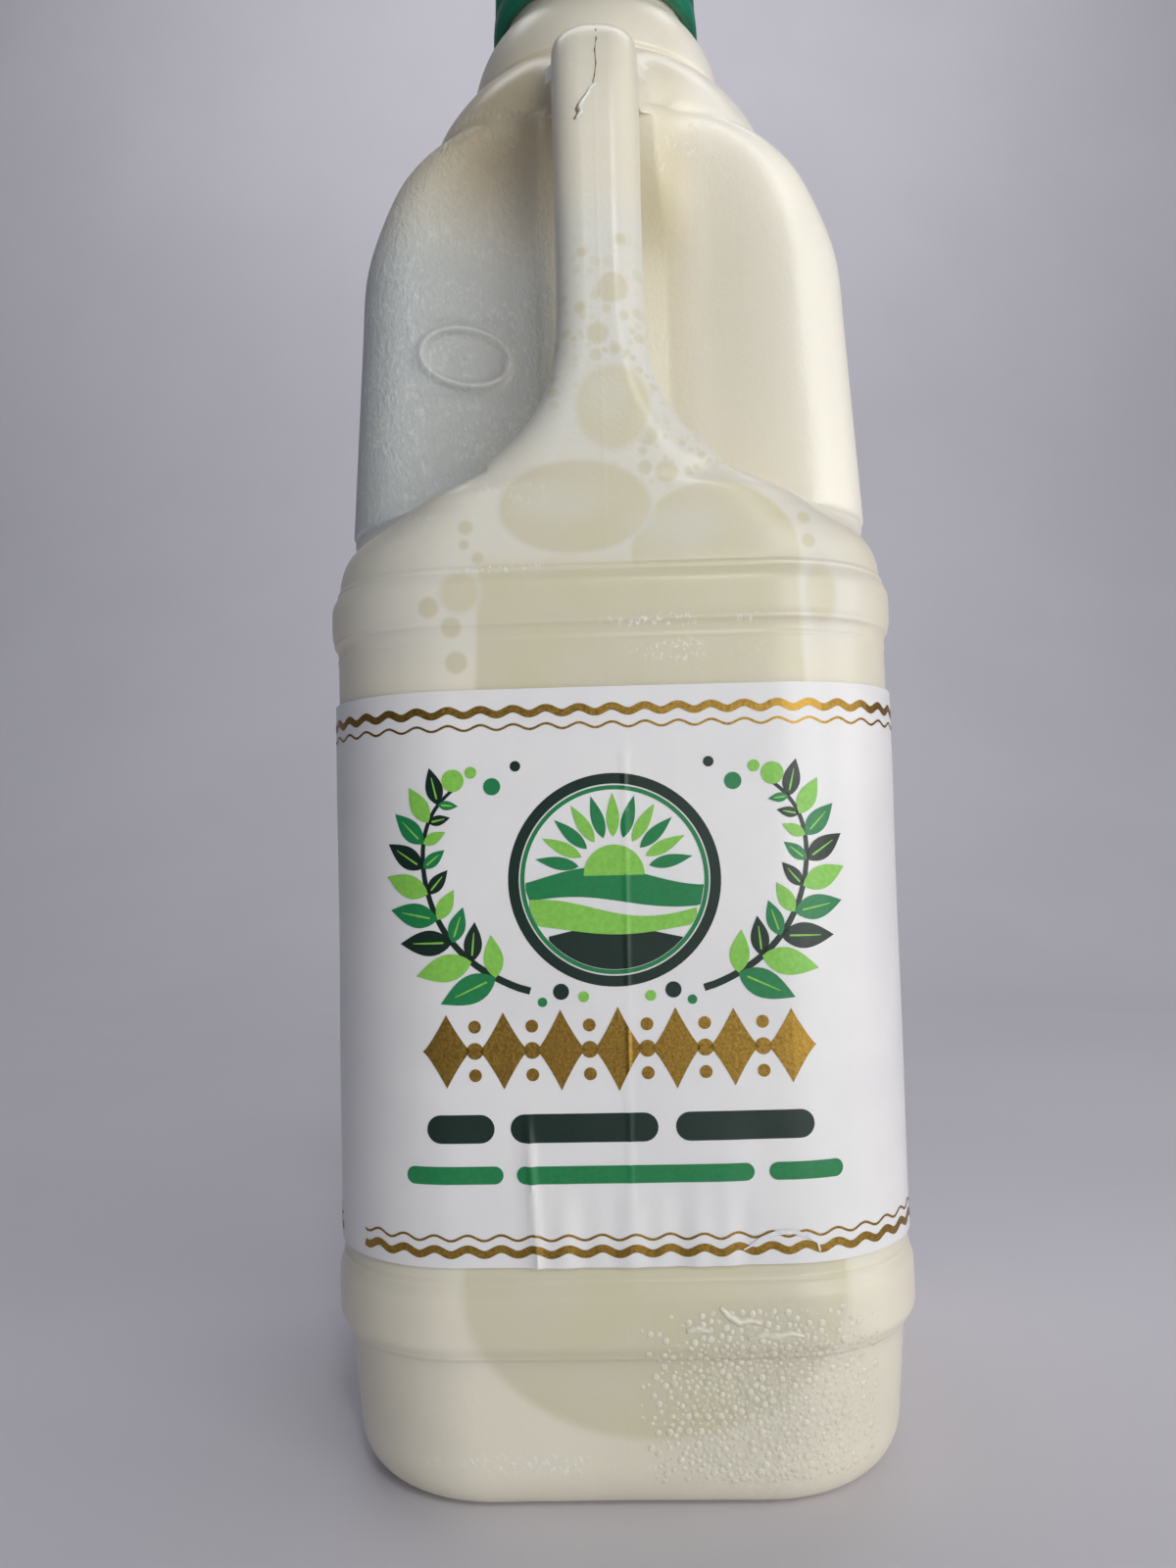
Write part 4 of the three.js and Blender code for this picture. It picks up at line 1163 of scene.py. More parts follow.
class LabelShape:
    """The label's surface: a closed outline measured by its length s from the front's middle."""

    def __init__(self):
        half = half_plan(85, plain=True)
        ring = half + [(-x, y, z) for x, y, z in half[-2:0:-1]]
        offset = FIT_GAP + LABEL_THICKNESS
        out = np.array([(x * (1 + offset / math.hypot(x, y)), y * (1 + offset / math.hypot(x, y)))
                        for x, y, _ in ring + ring[:1]])
        steps = np.hypot(*np.diff(out, axis=0).T)
        self.length = float(steps.sum())
        self.along = np.concatenate([[0], np.cumsum(steps)])
        self.outline = out

    def at(self, s):
        """(x, y) of the outline at length s, to the viewer's right of the front's middle."""
        s = s % self.length
        return (float(np.interp(s, self.along, self.outline[:, 0])),
                float(np.interp(s, self.along, self.outline[:, 1])))

    def outward(self, s):
        """Direction straight out of the outline at length s."""
        a, b = self.at(s - 0.6), self.at(s + 0.6)
        tangent = np.array([b[0] - a[0], b[1] - a[1]])
        tangent /= np.hypot(*tangent)
        return np.array([tangent[1], -tangent[0]])

    def lift(self, s, z):
        """How far the film stands off its plain outline: folds, a fine crease and a slack lower part."""
        s = (s + self.length / 2) % self.length - self.length / 2
        left, right = SLACK_SIDES
        low = 1 - smooth(*SLACK_TOP, z)
        fold_at = FOLD_X + FOLD_LEAN * (FOLD_MIDDLE - z)
        fold = FOLD_RISE * low * math.exp(-((s - fold_at) / FOLD_REACH) ** 2)
        slack = SLACK_RISE * low * smooth(fold_at - 3.0, fold_at, s) * (1 - smooth(right - 4, right + 3, s))
        ruck = RUCK_RISE * low * (1 - smooth(*RUCK_TOP, z))
        ruck *= math.sin(s * 0.55 + 0.8) + 0.6 * math.sin(s * 1.3)
        ruck *= smooth(left, left + 4, s) * (1 - smooth(right - 2, right + 5, s))
        crease_at = CREASE_X + CREASE_LEAN * (z - CREASE_MIDDLE)
        crease = CREASE_RISE * math.exp(-((s - crease_at) / CREASE_REACH) ** 2)
        crease *= smooth(*CREASE_FOOT, z) * (1 - smooth(*CREASE_TOP, z))
        wave = WAVE_RISE * math.sin(s * 0.11 + z * 0.05) * math.sin(z * 0.09)
        return max(DEEPEST_DIP, fold + slack + ruck + crease + wave)

    def inner_point(self, s, z):
        """The film's back, without folds."""
        x, y = self.at(s)
        inward = self.outward(s) * -LABEL_THICKNESS
        return (x + inward[0], y + inward[1], z)

    def point(self, s, z, off=0.0):
        """A point of the film's face, or the given distance off it."""
        x, y = self.at(s)
        out = self.outward(s) * (self.lift(s, z) + off)
        return (x + out[0], y + out[1], z)


def build_label(shape, material):
    """The film: outer face with its folds, a plain inner face and closed edges."""
    n = LABEL_COLUMNS
    lengths = [shape.length * c / n for c in range(n)]
    heights = [mix(LABEL[0], LABEL[1], r / LABEL_ROWS) for r in range(LABEL_ROWS + 1)]
    points = [shape.point(s, z) for z in heights for s in lengths]
    faces = []
    for r in range(LABEL_ROWS):
        faces += ring_band(r * n, (r + 1) * n, n)
    top = LABEL_ROWS * n
    inner_low = len(points)
    inner_top = inner_low + n
    for z in (heights[0], heights[-1]):
        points += [shape.inner_point(s, z) for s in lengths]
    faces += ring_band(inner_low, 0, n) + ring_band(top, inner_top, n) + ring_band(inner_top, inner_low, n)
    piece = new_piece("label_film", points, faces, material)
    piece.data.set_sharp_from_angle(angle=math.radians(50))
    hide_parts("label")


class Print:
    """Collects printed patches of one ink: shapes laid just above the label, which follow its folds."""

    def __init__(self, shape, off=0.05):
        self.shape = shape
        self.off = off
        self.points = []
        self.faces = []

    def strip(self, rows, centre=0.0):
        """A band between two lines: rows of ((s, z), (s, z)) pairs, from the one end to the other."""
        rows = self.refined(rows)
        start = len(self.points)
        wide = max(1, math.ceil(max(math.dist(a, b) for a, b in rows) / PRINT_CELL[1]))
        for a, b in rows:
            for k in range(wide + 1):
                s, z = mix(a[0], b[0], k / wide), mix(a[1], b[1], k / wide)
                self.points.append(self.shape.point(centre + s, z, self.off))
        self.faces += grid_faces(len(rows), wide + 1, start)

    @staticmethod
    def refined(rows):
        """The same rows with more between them, so that the print follows the film's creases."""
        fine = [rows[0]]
        for (a, b), (c, d) in zip(rows, rows[1:]):
            steps = max(1, math.ceil(max(math.dist(a, c), math.dist(b, d)) / PRINT_CELL[0]))
            for k in range(1, steps + 1):
                t = k / steps
                fine.append(((mix(a[0], c[0], t), mix(a[1], c[1], t)),
                             (mix(b[0], d[0], t), mix(b[1], d[1], t))))
        return fine

    def line(self, path, width, centre=0.0):
        """A line of the given width, or of a width for each point, along (s, z) points."""
        path = np.array(path, float)
        widths = np.broadcast_to(np.array(width, float), len(path))
        along = np.gradient(path, axis=0)
        along /= np.maximum(1e-9, np.hypot(along[:, 0], along[:, 1]))[:, None]
        side = np.stack([-along[:, 1], along[:, 0]], 1) * widths[:, None] / 2
        self.strip([(tuple(p - d), tuple(p + d)) for p, d in zip(path, side)], centre)

    def disc(self, s, z, radius_s, radius_z=None, centre=0.0, hole=0.0, turns=(0.0, 1.0), steps=48):
        """An ellipse, or a ring where hole is the share of it left open."""
        radius_z = radius_z or radius_s
        rows = []
        for i in range(steps + 1):
            a = 2 * math.pi * mix(turns[0], turns[1], i / steps)
            along, up = radius_s * math.cos(a), radius_z * math.sin(a)
            rows.append(((s + along * hole, z + up * hole), (s + along, z + up)))
        self.strip(rows, centre)

    def leaf(self, s, z, length, width, angle, centre=0.0):
        """A pointed leaf from its stalk end at s, z."""
        turn = (math.cos(angle), math.sin(angle))
        rows = []
        for i in range(13):
            t = i / 12
            half = width / 2 * math.sin(math.pi * t**0.8) + 0.01
            mid = (s + turn[0] * length * t, z + turn[1] * length * t)
            rows.append(((mid[0] - turn[1] * -half, mid[1] - turn[0] * half),
                         (mid[0] - turn[1] * half, mid[1] + turn[0] * half)))
        self.strip(rows, centre)

    def finish(self, name, material):
        """Makes the collected patches one piece, all facing out."""
        turned = [tuple(reversed(face)) if self.faces_in(face) else face for face in self.faces]
        new_piece(name, self.points, turned, material)

    def faces_in(self, face):
        """Whether a face's normal points into the jug."""
        a, b, c = (np.array(self.points[v]) for v in face[:3])
        normal = np.cross(b - a, c - a)
        return normal[0] * a[0] + normal[1] * a[1] < 0


# Wavy border lines: height, swing and width, their shift, and where the lower ones start and stop short
WAVE_PERIOD = 5.0
UPPER_BORDER = ((120.75, 0.42, 1.15), (118.4, 0.40, 0.36))
LOWER_BORDER = ((42.35, 0.40, 0.36), (40.35, 0.42, 1.15))
UPPER_SHIFT = 1.0
LOWER_SHIFT = -0.6
LOWER_START = -41.5
LOWER_BREAK = 9.5


# A line of water on the film as length and height, and its widths
WATER_LINE = (
    (17.6, 40.2), (18.6, 40.7), (20.4, 41.9), (22.6, 42.6), (25.0, 42.7), (27.2, 42.0), (28.6, 41.0),
    (28.9, 39.6),
)
WATER_WIDTHS = (0.15, 0.3, 0.5, 0.7, 0.65, 0.55, 0.4, 0.2)


def wave_path(z, height, first, last, shift=0.0):
    """A wavy line's (s, z) points."""
    count = round((last - first) * 4)
    return [(s, z + height * math.sin(2 * math.pi * (s + shift) / WAVE_PERIOD))
            for s in np.linspace(first, last, count)]


def build_borders(shape, foil):
    """Thick and thin wavy gold lines along both edges of the label."""
    gold = Print(shape)
    half = shape.length / 2
    lower_end = LOWER_START + shape.length - LOWER_BREAK
    for z, swing, width in UPPER_BORDER:
        gold.line(wave_path(z, swing, -half, half, UPPER_SHIFT), width)
    for z, swing, width in LOWER_BORDER:
        gold.line(wave_path(z, swing, LOWER_START, lower_end, LOWER_SHIFT), width)
    gold.finish("gold_borders", foil)


def build_motif(shape, inks, foil):
    """A plain farm emblem on the front and the back: hills and a sun in a ring between leafy sprigs."""
    dark, mid, light, gold = (Print(shape, off) for off in (0.06, 0.08, 0.10, 0.06))
    for centre in (0.0, shape.length / 2):
        draw_emblem(dark, mid, light, centre)
        for side in (-1, 1):
            draw_sprig(dark, mid, light, centre, side)
        draw_name_bar(gold, centre)
        draw_lines(dark, mid, centre)
        draw_side_block(dark, centre + shape.length / 4)
    dark.finish("dark_green_print", inks["dark"])
    mid.finish("green_print", inks["mid"])
    light.finish("light_green_print", inks["light"])
    gold.finish("gold_print", foil)


EMBLEM_HEIGHT = 95.0
EMBLEM_RADIUS = 16.0
SUN_RADIUS = 4.6
RAYS = 11
RAY_START_RADIUS = 5.4
RAY_SIZE = (6.6, 1.9)

# Hills: ink, height of the top and the foot from the emblem's middle, swing and phase of their outline
HILLS = (("mid", 0.4, -3.4, 1.5, 0.5), ("light", -4.2, -7.4, 1.4, 2.2), ("dark", -8.2, -14.0, 1.2, 0.2))


def hill_rows(field, middle, top, foot, swing, phase):
    """A band across the emblem's field between two wavy outlines, cut off by the field's circle."""
    rows = []
    for i in range(49):
        s = field * 0.995 * (i / 24 - 1)
        edge = math.sqrt(field**2 - s * s)
        high = min(top + swing * math.cos(s * 0.19 + phase), edge)
        low = max(foot + 0.6 * swing * math.cos(s * 0.19 + phase + 0.8), -edge)
        if high > low:
            rows.append(((s, middle + low), (s, middle + high)))
    return rows


def draw_emblem(dark, mid, light, centre):
    """A dark ring round a half sun with rays over three hills."""
    middle, radius = EMBLEM_HEIGHT, EMBLEM_RADIUS
    dark.disc(0, middle, radius, centre=centre, hole=0.9, steps=96)
    mid.disc(0, middle, radius * 0.885, centre=centre, hole=0.955, steps=96)
    for k in range(RAYS):
        a = math.pi * (0.06 + 0.88 * k / (RAYS - 1))
        s, z = RAY_START_RADIUS * math.cos(a), middle + 1 + RAY_START_RADIUS * math.sin(a)
        (light if k % 2 else mid).leaf(s, z, *RAY_SIZE, a, centre)
    light.disc(0, middle + 0.6, SUN_RADIUS, centre=centre, turns=(0.0, 0.5))
    inks = {"dark": dark, "mid": mid, "light": light}
    for ink, *hill in HILLS:
        inks[ink].strip(hill_rows(radius * 0.84, middle, *hill), centre)


SPRIG_STEPS = 40
LEAF_PAIRS = 9
VEIN_SPOTS = (0.16, 0.3, 0.45, 0.6, 0.74)
VEIN_WIDTHS = (0.26, 0.3, 0.26, 0.2, 0.1)


def sprig_stem(side):
    """The curved stem's points, from its foot up."""
    stem = []
    for i in range(SPRIG_STEPS + 1):
        t = i / SPRIG_STEPS
        s = 13.0 + 16.0 * math.sin(t * 2.45) ** 0.8
        stem.append((side * s, 78.6 + 30.0 * t - 1.6 * math.sin(t * 6)))
    return stem


def draw_leaf(ink, vein, s, z, size, angle, centre):
    """A leaf with a fine vein along its middle."""
    ink.leaf(s, z, size, size * 0.46, angle, centre)
    vein.line([(s + f * size * math.cos(angle), z + f * size * math.sin(angle)) for f in VEIN_SPOTS],
              VEIN_WIDTHS, centre)


def draw_sprig(dark, mid, light, centre, side):
    """A curved stem beside the emblem with paired leaves, buds and round berries."""
    stem = sprig_stem(side)
    dark.line(stem, np.linspace(1.1, 0.5, len(stem)), centre)
    for k in range(LEAF_PAIRS):
        i = 4 + 4 * k
        s, z = stem[i]
        ahead = math.atan2(stem[i + 1][1] - z, stem[i + 1][0] - s)
        for turn in (0.95, -0.95):
            outer = turn * side < 0
            size = (9.2 if outer else 6.4) - 0.42 * k
            ink = (mid, light, dark)[k % 3] if outer else (light, dark, mid)[k % 3]
            draw_leaf(ink, light if ink is not light else dark, s, z, size, ahead + turn, centre)
    s, z = stem[-1]
    light.disc(s, z + 1.4, 1.7, centre=centre)
    dark.disc(s, z + 1.4, 0.6, centre=centre, steps=24)
    berries = ((18.2, 109.4, 1.3, mid), (21.4, 111.6, 0.9, light), (14.6, 112.4, 0.8, dark),
               (8.4, 78.4, 1.2, dark), (5.0, 77.6, 0.8, light), (11.2, 76.9, 0.7, mid))
    for x, height, radius, ink in berries:
        ink.disc(side * x, height, radius, centre=centre, steps=32)


NAME_HEIGHT = 69.8
LOZENGE_STEP = 8.6
LOZENGE_HALF_WIDTH = 3.7
LOZENGE_HALF_HEIGHT = 6.2
DOT_RISE = 3.6


def draw_name_bar(gold, centre):
    """A row of gold lozenges and dots where a name would stand."""
    for k in range(-3, 4):
        s = LOZENGE_STEP * k
        tall = LOZENGE_HALF_HEIGHT - 0.25 * abs(k)
        rows = []
        for i in range(21):
            t = i / 10 - 1
            half = tall * (1 - abs(t)) ** 1.25 + 0.02
            across = s + LOZENGE_HALF_WIDTH * t
            rows.append(((across, NAME_HEIGHT - half), (across, NAME_HEIGHT + half)))
        gold.strip(rows, centre)
    for k in range(-3, 3):
        for rise in (-DOT_RISE, 0.0, DOT_RISE):
            radius = 0.95 if rise else 1.25
            gold.disc(LOZENGE_STEP * (k + 0.5), NAME_HEIGHT + rise, radius, centre=centre, steps=28)


def rounded_bar(ink, first, last, z, height, centre):
    """A level bar with round ends."""
    radius = height / 2
    rows = []
    for s in np.concatenate([first + radius * (1 - np.cos(np.linspace(0, math.pi / 2, 7))),
                             last - radius * (1 - np.sin(np.linspace(0, math.pi / 2, 7)))]):
        inside = min(s - first, last - s, radius)
        half = math.sqrt(max(0.0004, radius**2 - (radius - inside) ** 2))
        rows.append(((s, z - half), (s, z + half)))
    ink.strip(rows, centre)


def draw_lines(dark, mid, centre):
    """Plain bars in place of two lines of small print."""
    for first, last in ((-29.0, -18.8), (-16.4, 5.6), (8.2, 28.8)):
        rounded_bar(dark, first, last, 58.3, 4.2, centre)
    for first, last in ((-32.4, -17.6), (-15.6, 19.6), (21.8, 33.2)):
        rounded_bar(mid, first, last, 51.5, 2.6, centre)


def draw_side_block(dark, centre):
    """Rows of thin bars in place of the small print on a side face."""
    for row in range(15):
        z = 108.5 - 3.6 * row
        cuts = ((-17.0, 3.0), (6.0, 17.0)) if row % 4 else ((-17.0, -4.0),)
        for first, last in cuts:
            rounded_bar(dark, first, last - (row * 7 % 5), z, 1.0, centre)


# Cap

CAP_STEPS_PER_RIB = 12
CAP_AROUND = RIBS * CAP_STEPS_PER_RIB
RIBS_PER_BRIDGE = 3
BRIDGE_DEPTH = 0.9
BRIDGED = -1


def cap_profile():
    """(outside, inside) rings of the cap, up from its mouth, as radius, height and kind.

    Kind is the share of the ribs' full depth, or BRIDGED in the groove above the tamper ring.
    """
    skirt = CAP_RADIUS - 0.9
    groove_top = RING_TOP + RING_GROOVE
    outside = [
        (CAP_BORE, CAP_BOTTOM + 0.2, 0), (CAP_BORE + 0.3, CAP_BOTTOM, 0), (CAP_RADIUS - 0.25, CAP_BOTTOM, 0),
        (CAP_RADIUS, CAP_BOTTOM + 0.3, 0), (CAP_RADIUS - 0.05, CAP_BOTTOM + 2, 0),
        (CAP_RADIUS - 0.2, RING_TOP - 0.3, 0), (CAP_RADIUS - 0.4, RING_TOP, 0),
        (skirt - 0.3, RING_TOP + 0.02, BRIDGED), (skirt - 0.5, RING_TOP + 0.15, BRIDGED),
        (skirt - 0.5, groove_top - 0.15, BRIDGED),
        (skirt - 0.3, groove_top, 1), (skirt, groove_top + 0.15, 1),
        (skirt - 0.05, RING_TOP + 2.5, 1), (skirt - 0.15, CAP_TOP - 4, 1), (skirt - 0.3, CAP_TOP - 2.2, 1),
        (skirt - 0.45, CAP_TOP - 1.5, 0.6), (skirt - 0.8, CAP_TOP - 0.75, 0.15),
        (skirt - 1.4, CAP_TOP - 0.22, 0),
        (skirt - 2.1, CAP_TOP, 0), (14.2, CAP_TOP, 0), (13.6, CAP_TOP - 0.12, 0), (13.1, CAP_TOP - 0.5, 0),
        (12.6, CAP_TOP - 0.6, 0), (6, CAP_TOP - 0.62, 0), (1.2, CAP_TOP - 0.64, 0), (0.6, CAP_TOP - 0.5, 0),
    ]
    inside = [(0.6, NECK_TOP + 0.5, 0), (CAP_BORE, NECK_TOP + 0.5, 0)]
    return outside, inside


def cap_ring(radius, z, kind):
    """One ring of the cap's points with its ribs or its bridges."""
    ring = []
    for c in range(CAP_AROUND):
        a = 2 * math.pi * c / CAP_AROUND
        rib, step = divmod(c, CAP_STEPS_PER_RIB)
        phase = step / CAP_STEPS_PER_RIB
        tooth = smooth(0.04, 0.2, phase) * (1 - smooth(0.66, 0.82, phase))
        bridged = kind == BRIDGED and rib % RIBS_PER_BRIDGE == 0 and phase < 0.5
        r = radius + max(0.0, kind) * RIB_DEPTH * tooth + (BRIDGE_DEPTH if bridged else 0.0)
        ring.append((r * math.cos(a), r * math.sin(a), z))
    return ring


def build_cap(material):
    """The cap: ribbed skirt, rounded top edge, shallow dished top and a tamper ring held by small bridges."""
    outside, inside = cap_profile()
    n = CAP_AROUND
    points = []
    for ring in outside + inside:
        points += cap_ring(*ring)
    faces = []
    for r in range(len(outside) - 1):
        faces += ring_band(r * n, (r + 1) * n, n)
    inner_top = len(outside) * n
    inner_edge = inner_top + n
    faces += ring_band(inner_top, inner_edge, n)
    faces.append(tuple(inner_top - n + c for c in range(n)))
    faces.append(tuple(inner_top + c for c in range(n - 1, -1, -1)))
    faces += ring_band(inner_edge, 0, n)
    piece = new_piece("screw_cap", points, faces, material)
    piece.data.set_sharp_from_angle(angle=math.radians(48))
    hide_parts("cap")


# Body details

# The moulded oval: centre x, z, half-size and tilt, then its ring's width and height and the patch round it
OVAL = (-25.4, 190.6, 7.7, 5.3, math.radians(8))
OVAL_WIDTH = 1.6
OVAL_HEIGHT = 1.15
OVAL_MARGIN = 2.6
OVAL_STEPS = (104, 80)


def oval_patch(tree):
    """A raised oval ring moulded into the left recess wall: a fine patch that meets the wall at its edge."""
    cx, cz, rx, rz, tilt = OVAL
    count_x, count_z = OVAL_STEPS
    reach_x, reach_z = rx + OVAL_MARGIN, rz + OVAL_MARGIN
    points = []
    for j in range(count_z + 1):
        for i in range(count_x + 1):
            u = mix(-reach_x, reach_x, i / count_x)
            v = mix(-reach_z, reach_z, j / count_z)
            x = cx + u * math.cos(tilt) - v * math.sin(tilt)
            z = cz + u * math.sin(tilt) + v * math.cos(tilt)
            hit, normal = touch(tree, x, z)
            length = math.hypot(u / rx, v / rz)
            away = (length - 1) * math.hypot(u, v) / max(1e-6, length)
            ring = OVAL_HEIGHT * math.exp(-(away / (OVAL_WIDTH / 2)) ** 2)
            edge = min(reach_x - abs(u), reach_z - abs(v))
            points.append(tuple(hit + normal * (ring + mix(-0.3, 0.03, smooth(0, 1.2, edge)))))
    return points, grid_faces(count_z + 1, count_x + 1)


# Cross-section of a ribbon: places across it, from edge to edge, and heights there
RIBBON_ACROSS = (-1, -0.5, 0, 0.5, 1)
RIBBON_SHAPE = (-0.25, 0.7, 1.0, 0.7, -0.25)


def ribbon(tree, path, widths, heights):
    """A low ridge laid on the front along (x, z) points, as points and faces."""
    centre = [touch(tree, x, z) for x, z in path]
    points = []
    for k, (hit, normal) in enumerate(centre):
        a, b = centre[max(0, k - 1)][0], centre[min(len(centre) - 1, k + 1)][0]
        side = np.cross(b - a, normal)
        side /= max(1e-9, np.linalg.norm(side))
        for t, h in zip(RIBBON_ACROSS, RIBBON_SHAPE):
            points.append(tuple(hit + side * t * widths[k] / 2 + normal * heights[k] * h))
    return points, grid_faces(len(centre), len(RIBBON_ACROSS))


# The seam's marks down the grip's top as x, z, and the tear's widths and heights at its points
HAIRLINE = (
    (0.3, 238.6), (0.35, 236.0), (0.2, 233.5), (0.45, 231.0), (0.5, 228.6), (0.2, 226.0),
    (0.35, 223.4), (0.1, 221.2), (-0.2, 219.9),
)
SCAR = (
    (0.5, 219.9), (-0.6, 219.2), (-1.0, 218.3), (-1.5, 217.6), (-2.1, 216.7), (-2.4, 215.9),
    (-2.2, 215.2), (-2.9, 214.3),
)
SCAR_WIDTHS = (0.35, 0.5, 0.8, 0.55, 0.85, 1.0, 0.8, 0.45)
SCAR_HEIGHTS = (0.12, 0.2, 0.32, 0.2, 0.34, 0.38, 0.3, 0.15)
# Shift and widths of a painted shadow beside the tear
SCAR_SHADOW_SHIFT = (-0.42, -0.25)
SCAR_SHADOW_WIDTHS = (0.3, 0.35, 0.5, 0.7, 0.6, 0.4)


def seam_mark(tree, groups, name, path, widths, heights, material):
    """One mark on the seam; material is its name, colour and roughness."""
    points, faces = ribbon(tree, path, widths, heights)
    new_piece(name, points, faces, flat_material(*material, groups))


def build_seam_marks(tree, groups):
    """The dark hairline down the grip's top, the shiny tear in the seam below it and a painted shadow beside
    the tear.
    """
    count = len(HAIRLINE)
    widths = [0.34 - 0.2 * abs(i / (count - 1) - 0.45) for i in range(count)]
    seam_mark(tree, groups, "seam_hairline", HAIRLINE, widths, [0.05] * count,
              ("hairline", srgb(112, 104, 88), 0.45))
    seam_mark(tree, groups, "seam_tear", SCAR, SCAR_WIDTHS, SCAR_HEIGHTS,
              ("torn seam", srgb(222, 222, 214), 0.12))
    # A painted shadow beside the tear: a dark strip offset below and left of it.
    edge = [(x + SCAR_SHADOW_SHIFT[0], z + SCAR_SHADOW_SHIFT[1]) for x, z in SCAR[2:]]
    seam_mark(tree, groups, "tear_shadow", edge, SCAR_SHADOW_WIDTHS, [0.07] * len(edge),
              ("tear edge", srgb(140, 122, 88), 0.5))


# Water on the lower right: where the small drops are densest, how far they reach, and streaks as x, z
DEW_CENTRE = (21.0, 17.0)
DEW_REACH = (8.8, 7.6)
DEW_BOX = (2.0, 38.0, 5.5, 32.0)
DEW_COUNT = 760
DEW_RADIUS = (0.3, 0.62)
DEW_SPACING = 0.85
DEW_TRIES = 60000
DROP_SINK = 0.05
DROP_RINGS = 4
DROP_AROUND = 12
STREAKS = (
    ((13.9, 31.9), (14.8, 31.0), (15.6, 30.3), (16.7, 29.7), (18.4, 30.0), (20.0, 29.5)),
    ((18.0, 27.4), (20.0, 27.9), (22.4, 27.6), (24.2, 28.1), (26.0, 27.6)),
    ((9.0, 28.6), (10.6, 28.9), (12.2, 28.5)),
)


def dew_points(tree, rng):
    """Small water drops on the lower right of the front: (place, normal, radius, x, z) in millimetres."""
    drops = []
    tries = 0
    while len(drops) < DEW_COUNT and tries < DEW_TRIES:
        tries += 1
        x = rng.uniform(*DEW_BOX[:2])
        z = rng.uniform(*DEW_BOX[2:])
        away = ((x - DEW_CENTRE[0]) / DEW_REACH[0]) ** 2 + ((z - DEW_CENTRE[1]) / DEW_REACH[1]) ** 2
        if rng.random() > math.exp(-away):
            continue
        radius = rng.uniform(*DEW_RADIUS)
        if any((x - d[3]) ** 2 + (z - d[4]) ** 2 < DEW_SPACING * (radius + d[2]) ** 2 for d in drops):
            continue
        hit, normal = touch(tree, x, z)
        drops.append((hit, normal, radius, x, z))
    return drops


def drop_mesh(hit, normal, radius, height, points, faces):
    """Adds one low rounded drop to points and faces."""
    side = np.cross(normal, (0, 0, 1))
    side /= np.linalg.norm(side)
    up = np.cross(side, normal)
    start = len(points)
    for r in range(DROP_RINGS):
        a = r / DROP_RINGS * math.pi / 2
        for c in range(DROP_AROUND):
            b = 2 * math.pi * c / DROP_AROUND
            flat = side * math.cos(b) + up * math.sin(b)
            rise = radius * height * math.sin(a) - DROP_SINK
            points.append(tuple(hit + flat * radius * math.cos(a) + normal * rise))
    points.append(tuple(hit + normal * (radius * height - DROP_SINK)))
    for r in range(DROP_RINGS - 1):
        faces += ring_band(start + r * DROP_AROUND, start + (r + 1) * DROP_AROUND, DROP_AROUND)
    top = start + (DROP_RINGS - 1) * DROP_AROUND
    faces += [(top + c, top + (c + 1) % DROP_AROUND, len(points) - 1) for c in range(DROP_AROUND)]


def build_drops(tree, groups):
    """Water on the lower right: a field of small drops and a few run-together streaks."""
    rng = np.random.default_rng(7)
    points = []
    faces = []
    for hit, normal, radius, x, z in dew_points(tree, rng):
        drop_mesh(hit, normal, radius, rng.uniform(0.2, 0.3), points, faces)
    for path in STREAKS:
        widths = [0.5 + 0.9 * math.sin(math.pi * (i + 0.5) / len(path)) for i in range(len(path))]
        more_points, more_faces = ribbon(tree, path, widths, [0.3 * w for w in widths])
        start = len(points)
        points += more_points
        faces += [tuple(v + start for v in face) for face in more_faces]
    # The drops are coloured paler than the air pocket under them, partly a painted highlight.
    wet = flat_material("water drops", srgb(234, 228, 208), 0.16, groups)
    new_piece("water_drops", points, faces, wet)


# Settings

